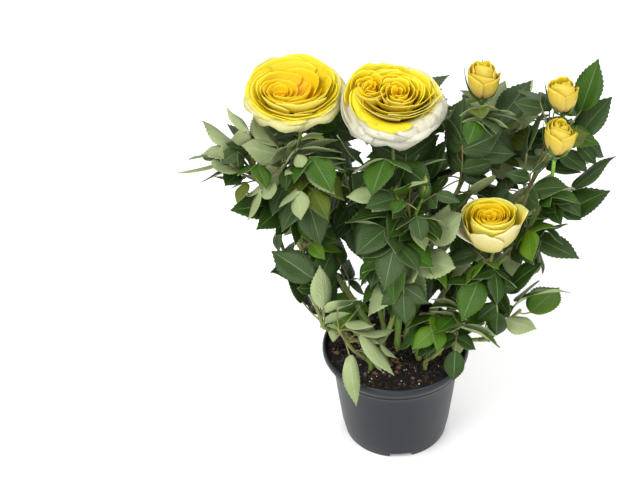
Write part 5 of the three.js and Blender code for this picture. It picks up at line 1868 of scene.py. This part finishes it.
SPIRAL_RINGS = (
    Ring(1, (0.06, -0.8), (0.66, -0.5), (0.88, -0.2), (1.06, 0), 27, 206, 4, 0.02, 0.2, -0.02, -0.04, 0, 0.03),
    Ring(1, (0.06, -0.8), (0.66, -0.8), (0.88, -0.25), (0.86, 0.28), 36, 250, 3, 0.02, 0.2, 0.04, -0.05, 0),
    Ring(1, (0.06, -0.8), (0.74, -0.82), (0.88, -0.05), (0.9, 0.44), 50, 356, 2, 0.02, 0.2, 0.04, -0.08, 0, 0.07),
    Ring(1, (0.06, -0.78), (0.7, -0.74), (0.87, -0.15), (0.84, 0.36), 46, 308, 3, 0.02, 0.14, 0.05, -0.1, 0),
    Ring(1, (0.06, -0.78), (0.68, -0.74), (0.84, -0.05), (0.84, 0.32), 74, 96, 2, 0.015, 0.06, 0.04, 0.05, 0, 0.04),
    Ring(1, (0.06, -0.78), (0.68, -0.72), (0.79, -0.05), (0.77, 0.28), 50, 170, 2, 0.015, 0.18, 0.06, 0, 0, 0.05),
    Ring(3, (0.05, -0.72), (0.58, -0.66), (0.73, 0.05), (0.68, 0.38), 72, 20, 1, 0.015, 0.12, 0.08),
    Ring(3, (0.05, -0.6), (0.5, -0.4), (0.63, 0.1), (0.59, 0.4), 74, 75, 1, 0.012, 0.12, 0.08),
    Ring(3, (0.05, -0.5), (0.42, -0.3), (0.54, 0.12), (0.5, 0.39), 76, 10, 0, 0.012, 0.12, 0.07),
    Ring(3, (0.05, -0.4), (0.34, -0.22), (0.45, 0.12), (0.41, 0.37), 78, 65, 0, 0.01, 0.12, 0.07),
    Ring(3, (0.04, -0.3), (0.25, -0.14), (0.36, 0.12), (0.32, 0.34), 80, 25, 0, 0.01, 0.12, 0.06),
    Ring(3, (0.04, -0.2), (0.17, -0.08), (0.26, 0.1), (0.22, 0.3), 84, 85, 0, 0.01, 0.14, 0.05),
    Ring(2, (0.03, -0.1), (0.09, -0.02), (0.14, 0.1), (0.11, 0.27), 95, 0, 0, 0.01, 0.16, 0.04),
)
BUD_PETALS = (
    Ring(1, (0.06, -0.86), (0.72, -0.82), (0.98, 0.1), (1.02, 0.86), 44, 352, 0, 0.02, 0.3, 0.04, -0.04, 0, 0.06),
    Ring(3, (0.06, -0.86), (0.7, -0.82), (1.14, 0.14), (0.88, 1.0), 62, 206, 0, 0.05, 0.14, 0.07, 0, 0.14, 0.06),
    Ring(3, (0.06, -0.84), (0.6, -0.76), (1.02, 0.28), (0.72, 1.16), 68, 258, 0, 0.04, 0.12, 0.07, 0, 0.1, 0.05),
    Ring(3, (0.05, -0.8), (0.5, -0.7), (0.84, 0.4), (0.52, 1.32), 74, 20, 0, 0.02, 0.1, 0.07),
    Ring(3, (0.05, -0.8), (0.4, -0.6), (0.62, 0.5), (0.34, 1.36), 80, 70, 0, 0.02, 0.12, 0.06),
    Ring(2, (0.03, -0.7), (0.25, -0.4), (0.36, 0.5), (0.16, 1.34), 100, 0, 0, 0.01, 0.14, 0.05),
)
TIGHT_PETALS = (
    Ring(3, (0.05, -0.9), (0.5, -0.9), (0.96, 0.2), (0.32, 1.05), 78, 200, 0, 0.02, 0.2, 0.06),
    Ring(3, (0.05, -0.9), (0.4, -0.8), (0.8, 0.3), (0.2, 1.2), 82, 250, 0, 0.02, 0.2, 0.06),
)
BUD_SEPALS = ((0.2, -1.0), (0.72, -0.72), (1.06, 0.1), (1.16, 1.2))
TIGHT_SEPALS = ((0.15, -1.0), (0.72, -0.7), (0.98, 0.05), (0.5, 0.95), (0.42, 1.5))


def quartered_rings() -> tuple[Ring, ...]:
    """The rings of the full flower: a wide pale skirt, folds across its front and two rosettes side by side."""
    rings = list(QUARTERED_RINGS)
    for order, (x, y, size) in enumerate(((-0.44, 0.24, 1.15), (0.06, 0.12, 1.0))):
        for count, reach, height, finish in ((4, 0.27, 0.18, 1), (4, 0.18, 0.19, 0), (3, 0.09, 0.17, 0)):
            wide = reach * size
            profile = ((0.03, -0.3), (wide * 0.8, -0.25), (wide * 1.05, 0.0), (wide, height))
            turn = order * 37 + reach * 200
            rings.append(Ring(count, *profile, 230 / count, turn, finish, 0.02, 0.12, 0.04, shift=(x, y)))
    return tuple(rings)


@dataclass
class PottingSoil:
    """The soil's surface: an uneven disc with crumbs, fibres and white grains."""

    rings: int = 44
    spokes: int = 132
    crumbs: int = 2100
    fibres: int = 150
    grains: int = 96
    depth: float = 6
    lump_varies: Pair = (0.7, 1.25)
    lump_stretch: Pair = (0.7, 1.3)
    scrap_sizes: Pair = (1.6, 2.6)
    grain_sizes: Pair = (0.4, 0.9)
    fibre_lengths: Pair = (3, 12)
    fibre_bows: Pair = (-0.25, 0.25)
    fibre_radii: Pair = (0.14, 0.34)
    crumb_least: float = 0.35
    crumb_spread: float = 2.0
    peat_share: float = 0.58
    humus_share: float = 0.86
    scraps: tuple[Pair, ...] = ((1, -31), (-2, -17), (-16, -33), (14, -38), (-30, -12), (24, -14))
    numbers: SeededNumbers = field(default_factory=lambda: SeededNumbers(53))

    def height(self, x: np.ndarray, y: np.ndarray) -> np.ndarray:
        """How high the soil lies at places."""
        broad = np.sin(x * 0.23 + 1) * np.cos(y * 0.19) * 0.8 + np.sin(x * 0.61 - y * 0.47) * 0.5
        fine = np.sin(x * 1.3 + y * 0.9) * np.cos(y * 1.1 - x * 0.7) * 0.45
        return SOIL_TOP - 0.6 + broad * 0.8 + fine

    def place(self, reach: float) -> np.ndarray:
        """A place on the soil."""
        radius = math.sqrt(self.numbers.draw()) * reach
        angle = self.numbers.draw() * 2 * math.pi
        x, y = radius * math.cos(angle), radius * math.sin(angle)
        return np.array([x, y, float(self.height(np.array(x), np.array(y)))])

    def lump(self, maker: MeshMaker, spot: np.ndarray, size: float, finish: StalkFinish) -> None:
        """Adds one small uneven lump."""
        corners = np.array([[1, 0, 0], [0, 1, 0], [-1, 0, 0], [0, -1, 0], [0, 0, 1], [0, 0, -1]], float)
        mids = np.array([unit(corners[a] + corners[b]) for a, b in LUMP_EDGES])
        points = np.vstack([corners, mids])
        points = points * np.array([[self.numbers.between(*self.lump_varies)] for _ in points])
        points = points * [*(self.numbers.between(*self.lump_stretch) for _ in range(2)), 0.75]
        maker.add(spot + points * size, points[:, :2], (LUMP_FACES, SOIL_FINISHES.index(finish)))

    def build(self) -> None:
        """Makes the soil."""
        maker = MeshMaker()
        radius = (SOIL_RADIUS + 0.5) * np.linspace(0, 1, self.rings + 1)[1:, None]
        angle = np.arange(self.spokes)[None, :] * 2 * math.pi / self.spokes
        x, y = radius * np.cos(angle), radius * np.sin(angle)
        z = self.height(x, y)
        top = np.stack([x, y, z], -1).reshape(-1, 3)
        low = SOIL_TOP - self.depth
        bottom = top[-self.spokes :] * [1, 1, 0] + [0, 0, low]
        middle = float(self.height(np.array(0.0), np.array(0.0)))
        points = np.vstack([top, bottom, [[0, 0, middle], [0, 0, low]]])
        quads, caps = ring_faces(self.rings + 1, self.spokes)
        maker.add(points, points[:, :2] / SURFACE_STEP, (quads[:, [0, 3, 2, 1]], 0), (caps[:, [1, 0, 2]], 0))
        for _ in range(self.crumbs):
            size = self.crumb_least + self.crumb_spread * self.numbers.draw() ** 2.6
            kind = self.numbers.draw()
            finish = PEAT if kind < self.peat_share else HUMUS if kind < self.humus_share else CHIP
            self.lump(maker, self.place(SOIL_RADIUS - 1.5) + UP * size * 0.3, size, finish)
        for x, y in self.scraps:
            self.lump(maker, np.array([x, y, SOIL_TOP + 0.9]), self.numbers.between(*self.scrap_sizes), CHIP)
        for _ in range(self.grains):
            self.lump(maker, self.place(SOIL_RADIUS - 3) + UP * 0.8, self.numbers.between(*self.grain_sizes), PERLITE)
        for _ in range(self.fibres):
            spot = self.place(SOIL_RADIUS - 6) + UP * 0.7
            way = turned(RIGHT, UP, self.numbers.between(0, 360))
            length = self.numbers.between(*self.fibre_lengths)
            bow = np.cross(UP, way) * self.numbers.between(*self.fibre_bows) * length
            line = Curve([spot, spot + way * length / 2 + bow + UP * 0.5, spot + way * length])
            spots = line.at(np.linspace(0, 1, 6))
            if np.hypot(spots[:, 0], spots[:, 1]).max() < SOIL_RADIUS - 1:
                radii = np.full(len(spots), self.numbers.between(*self.fibre_radii))
                tube(maker, spots, radii, sides=4, finish=SOIL_FINISHES.index(FIBRE))
        finishes = [finish.material for finish in SOIL_FINISHES]
        maker.build("potting_soil", Slot.SOIL, ("soil",), finishes)


LUMP_EDGES = ((0, 1), (1, 2), (2, 3), (3, 0), (0, 4), (1, 4), (2, 4), (3, 4), (0, 5), (1, 5), (2, 5), (3, 5))


def lump_faces() -> np.ndarray:
    """Faces of an octahedron whose edges are halved once."""
    number = {frozenset(edge): 6 + order for order, edge in enumerate(LUMP_EDGES)}
    faces = []
    for a, b in ((0, 1), (1, 2), (2, 3), (3, 0)):
        for c in (4, 5):
            corners = (a, b, c) if c == 4 else (b, a, c)
            mids = [number[frozenset(pair)] for pair in zip(corners, corners[1:] + corners[:1])]
            faces += [
                (corners[0], mids[0], mids[2]),
                (mids[0], corners[1], mids[1]),
                (mids[2], mids[1], corners[2]),
                tuple(mids),
            ]
    return np.array(faces)


LUMP_FACES = lump_faces()
PEAT = StalkFinish("peat", colour(23, 17, 12), colour(10, 8, 5), 260.0, 0.86, 0.98, 1.0, 1200.0)
HUMUS = StalkFinish("humus", colour(58, 43, 32), colour(34, 25, 18), 420.0, 0.86, 0.98, 1.0, 1200.0)
CHIP = StalkFinish("bark_chip", colour(122, 88, 64), colour(86, 60, 44), 420.0, 0.8, 0.95, 0.8, 900.0)
PERLITE = StalkFinish("perlite", colour(214, 208, 196), colour(186, 178, 162), 500.0, 0.8, 0.95)
FIBRE = StalkFinish("peat_fibre", colour(88, 68, 50), colour(54, 41, 31), 300.0, 0.8, 0.95)
SOIL_FINISHES = (PEAT, PERLITE, FIBRE, HUMUS, CHIP)


@dataclass(frozen=True)
class PotFinish(Finish):
    """Moulded slate-black plastic with a faint grain and fine scuffs."""

    name: str = "pot_plastic"
    body: Colour = colour(20, 27, 34)
    shade: Colour = colour(15, 20, 26)

    def paint(self, wiring: Wiring) -> dict[str, object]:
        """Wires the plastic's shade and grain."""
        patches = EFFECTS.use(wiring, Effect.MOTTLE, Scale=24.0, Low=self.body, High=self.shade, Softness=0.3)
        grain = EFFECTS.use(wiring, Effect.GRAIN, Scale=1600.0, Detail=3.0, Low=0.34, High=0.46)
        gloss, height = grain.outputs["Roughness"], grain.outputs["Height"]
        inputs = self.shading(wiring, patches.outputs["Color"], gloss, height, 0.12, 0.0004)
        return {**inputs, "Specular IOR Level": 0.36}


FOOT_RADIUS = 43.3


@dataclass
class NurseryPot:
    """The pot: a tapered wall, a step under a flared rim, drain holes and notches at the foot."""

    segments: int = 144
    floor: float = 1.6
    profile: tuple[Pair, ...] = (
        (0, 0), (42.3, 0), (43.0, 0.4), (FOOT_RADIUS, 1.2), (45.6, 14), (48.6, 40), (50.5, 60),
        (51.7, 70.6), (52.0, 72.0), (52.6, 73.2), (54.4, 76), (57.2, 80.2), (59.2, 83.4), (59.8, 84.6),
        (60.0, 85.6), (59.95, 87), (59.6, 88.6), (59.0, 89.6), (58.4, 90), (57.6, 89.9), (57.1, 89.3),
        (56.95, 88.2), (56.8, 84.5), (56.6, 79.4), (52.2, 73.2), (50.7, 71.2), (49.3, 60), (44.4, 14),
        (42.2, 1.8), (41.6, 1.6), (0, 1.6),
    )
    notch_count: int = 4
    notch_first: float = 6.5
    notch_size: Point = (19, 5, 4.5)
    drain_count: int = 6
    drain_circle: float = 27
    drain_radius: float = 3.5
    drain_sides: int = 24
    sharp_from: float = 38

    def cutter(self, name: str, points: np.ndarray, faces: Sequence[Sequence[int]]) -> bpy.types.Object:
        """A solid that only cuts."""
        mesh = bpy.data.meshes.new(name)
        mesh.from_pydata([tuple(p * MM) for p in points], [], faces)
        return in_scene(name, mesh)

    def cutters(self) -> list[bpy.types.Object]:
        """The solids that cut the notches and the drain holes."""
        solids = []
        width, depth, height = self.notch_size
        box = [(0, 1, 3, 2), (4, 6, 7, 5), (0, 4, 5, 1), (2, 3, 7, 6), (0, 2, 6, 4), (1, 5, 7, 3)]
        for order in range(self.notch_count):
            angle = self.notch_first - 90 + order * 360 / self.notch_count
            out = turned(RIGHT, UP, angle)
            side = np.cross(UP, out)
            corners = [
                out * reach + side * half + UP * z
                for reach in (FOOT_RADIUS - depth - 4, 50)
                for half in (-width / 2, width / 2)
                for z in (-2, height)
            ]
            solids.append(self.cutter(f"notch_cut_{order}", np.array(corners), box))
        sides = self.drain_sides
        for order in range(self.drain_count):
            middle = turned(RIGHT * self.drain_circle, UP, order * 360 / self.drain_count)
            ring = [turned(RIGHT * self.drain_radius, UP, k * 360 / sides) for k in range(sides)]
            points = np.array([middle + p + UP * z for z in (-2, 4) for p in ring])
            faces = [tuple(range(sides))[::-1], tuple(range(sides, 2 * sides))]
            faces += [(k, (k + 1) % sides, (k + 1) % sides + sides, k + sides) for k in range(sides)]
            solids.append(self.cutter(f"drain_cut_{order}", points, faces))
        return solids

    def build(self) -> None:
        """Makes the pot."""
        maker = MeshMaker()
        inner = np.array(self.profile[1:-1])
        angle = np.arange(self.segments) * 2 * math.pi / self.segments
        radius, height = inner[:, None, 0], inner[:, None, 1]
        wall = np.stack([radius * np.cos(angle), radius * np.sin(angle), height + np.zeros(self.segments)], -1)
        points = np.vstack([wall.reshape(-1, 3), [[0, 0, 0], [0, 0, self.floor]]])
        quads, caps = ring_faces(len(inner), self.segments)
        maker.add(points, points[:, [0, 2]] / SURFACE_STEP, (quads, 0), (caps, 0))
        maker.build("nursery_pot", Slot.POT, ("pot",), [PotFinish().material])
        piece = bpy.data.objects["nursery_pot"]
        cutters = self.cutters()
        for solid in cutters:
            cut = piece.modifiers.new(solid.name, "BOOLEAN")
            cut.object = solid
            cut.solver = "EXACT"
        evaluated = piece.evaluated_get(bpy.context.evaluated_depsgraph_get())
        mesh = bpy.data.meshes.new_from_object(evaluated)
        piece.modifiers.clear()
        piece.data = mesh
        for solid in cutters:
            bpy.data.objects.remove(solid)
        mesh.set_sharp_from_angle(angle=math.radians(self.sharp_from))


@dataclass
class Studio:
    """The floor, the light and the camera."""

    pitch: float = 37.0
    focal: float = 1214.0
    place: Point = (0.0, -754.0, 748.0)
    principal: Pair = (395.3, 254.0)
    picture: tuple[int, int] = (620, 489)
    sensor: float = 36.0
    nearest: float = 0.01
    floor_reach: float = 6000
    looked_at: Point = (0, 0.03, 0.15)
    lamps: tuple[tuple[str, Point, float, float], ...] = (
        ("key_light", (-0.7, -0.6, 1.4), 1.0, 19),
        ("fill_light", (0.9, -0.8, 0.9), 1.0, 9),
        ("back_light", (0.3, 1.0, 1.2), 0.9, 10),
        ("low_light", (-0.1, -1.3, 0.35), 0.9, 6),
    )
    sky: float = 0.62

    def ray(self, u: float, v: float) -> np.ndarray:
        """The direction from the camera through a pixel."""
        pitch = math.radians(self.pitch)
        ahead = np.array([0, math.cos(pitch), -math.sin(pitch)])
        above = np.array([0, math.sin(pitch), math.cos(pitch)])
        across, up = (u - self.principal[0]) / self.focal, (self.principal[1] - v) / self.focal
        return unit(ahead + RIGHT * across + above * up)

    def camera(self) -> None:
        """Sets the camera so that the picture's middle looks where the photograph's does."""
        ahead = self.ray(self.picture[0] / 2, self.picture[1] / 2)
        above = unit(np.cross(RIGHT, ahead))
        right = np.cross(ahead, above)
        lens = bpy.data.cameras.new("camera")
        lens.sensor_width = self.sensor
        lens.lens = self.sensor * self.focal / self.picture[0]
        lens.clip_start = self.nearest
        holder = in_scene("camera", lens)
        turn = Matrix((right, above, -ahead)).transposed().to_4x4()
        holder.matrix_world = Matrix.Translation(Vector(self.place) * MM) @ turn
        bpy.context.scene.camera = holder

    def light(self, name: str, place: Sequence[float], size: float, power: float) -> None:
        """Adds a soft square light that shines on the crown."""
        lamp = bpy.data.lights.new(name, "AREA")
        lamp.size = size
        lamp.energy = power
        holder = in_scene(name, lamp)
        holder.location = place
        way = Vector(self.looked_at) - Vector(place)
        holder.rotation_euler = way.to_track_quat("-Z", "Y").to_euler()

    def build(self) -> None:
        """Makes the floor, the lights, the world and the camera."""
        steps = np.linspace(-1, 1, 9) * self.floor_reach
        x, y = np.meshgrid(steps, steps)
        points = np.stack([x, y, np.zeros_like(x)], -1).reshape(-1, 3)
        mesh = bpy.data.meshes.new("floor")
        mesh.from_pydata([tuple(p * MM) for p in points], [], grid_faces(9, 9).tolist())
        mesh.materials.append(FLOOR.material)
        in_scene("floor", mesh)
        for lamp in self.lamps:
            self.light(*lamp)
        world = bpy.data.worlds.new("studio")
        world.use_nodes = True
        Wiring(world.node_tree).put(world.node_tree.nodes["Background"], {0: PLAIN, 1: self.sky})
        bpy.context.scene.world = world
        bpy.context.scene.view_settings.view_transform = "Standard"
        bpy.context.scene.view_settings.look = "None"
        self.camera()
        log.info("studio set")


FLOOR = StalkFinish("floor_paint", colour(250, 250, 250), colour(247, 247, 247), 3.0, 0.7, 0.8, 0.02, 60.0)


def blooms() -> list[Bloom]:
    """The flowers of the bush: three open ones, three buds and one small closed bud."""
    buds = [
        Bloom(name, BUD_PETALS, (BLUSH,), seed, 12, 11, 0.35, BUD_SEPALS, width, 1.0, -0.13, front)
        for name, seed, width, front in (
            ("bud_top", 5, 5.6, 0.3),
            ("bud_outer", 9, 5.6, 0.5),
            ("bud_right", 14, 6.8, 0.62),
        )
    ]
    buds.append(Bloom("bud_small", TIGHT_PETALS, (BLUSH,), 18, 12, 11, 0.3, TIGHT_SEPALS, 6.4, 1.5))
    return [
        Bloom("rose_left", BOWL_RINGS, BLOOM_FINISHES, 3),
        Bloom("rose_centre", quartered_rings(), BLOOM_FINISHES, 8),
        Bloom("rose_right", SPIRAL_RINGS, BLOOM_FINISHES, 12),
        *buds,
    ]


def main() -> None:
    """Builds the pot, the plant and the studio."""
    logging.basicConfig(level=logging.INFO, format="%(message)s")
    NurseryPot().build()
    PottingSoil().build()
    Canes().build()
    Foliage().build()
    for bloom in blooms():
        bloom.build()
    Studio().build()


if __name__ == "__main__":
    main()
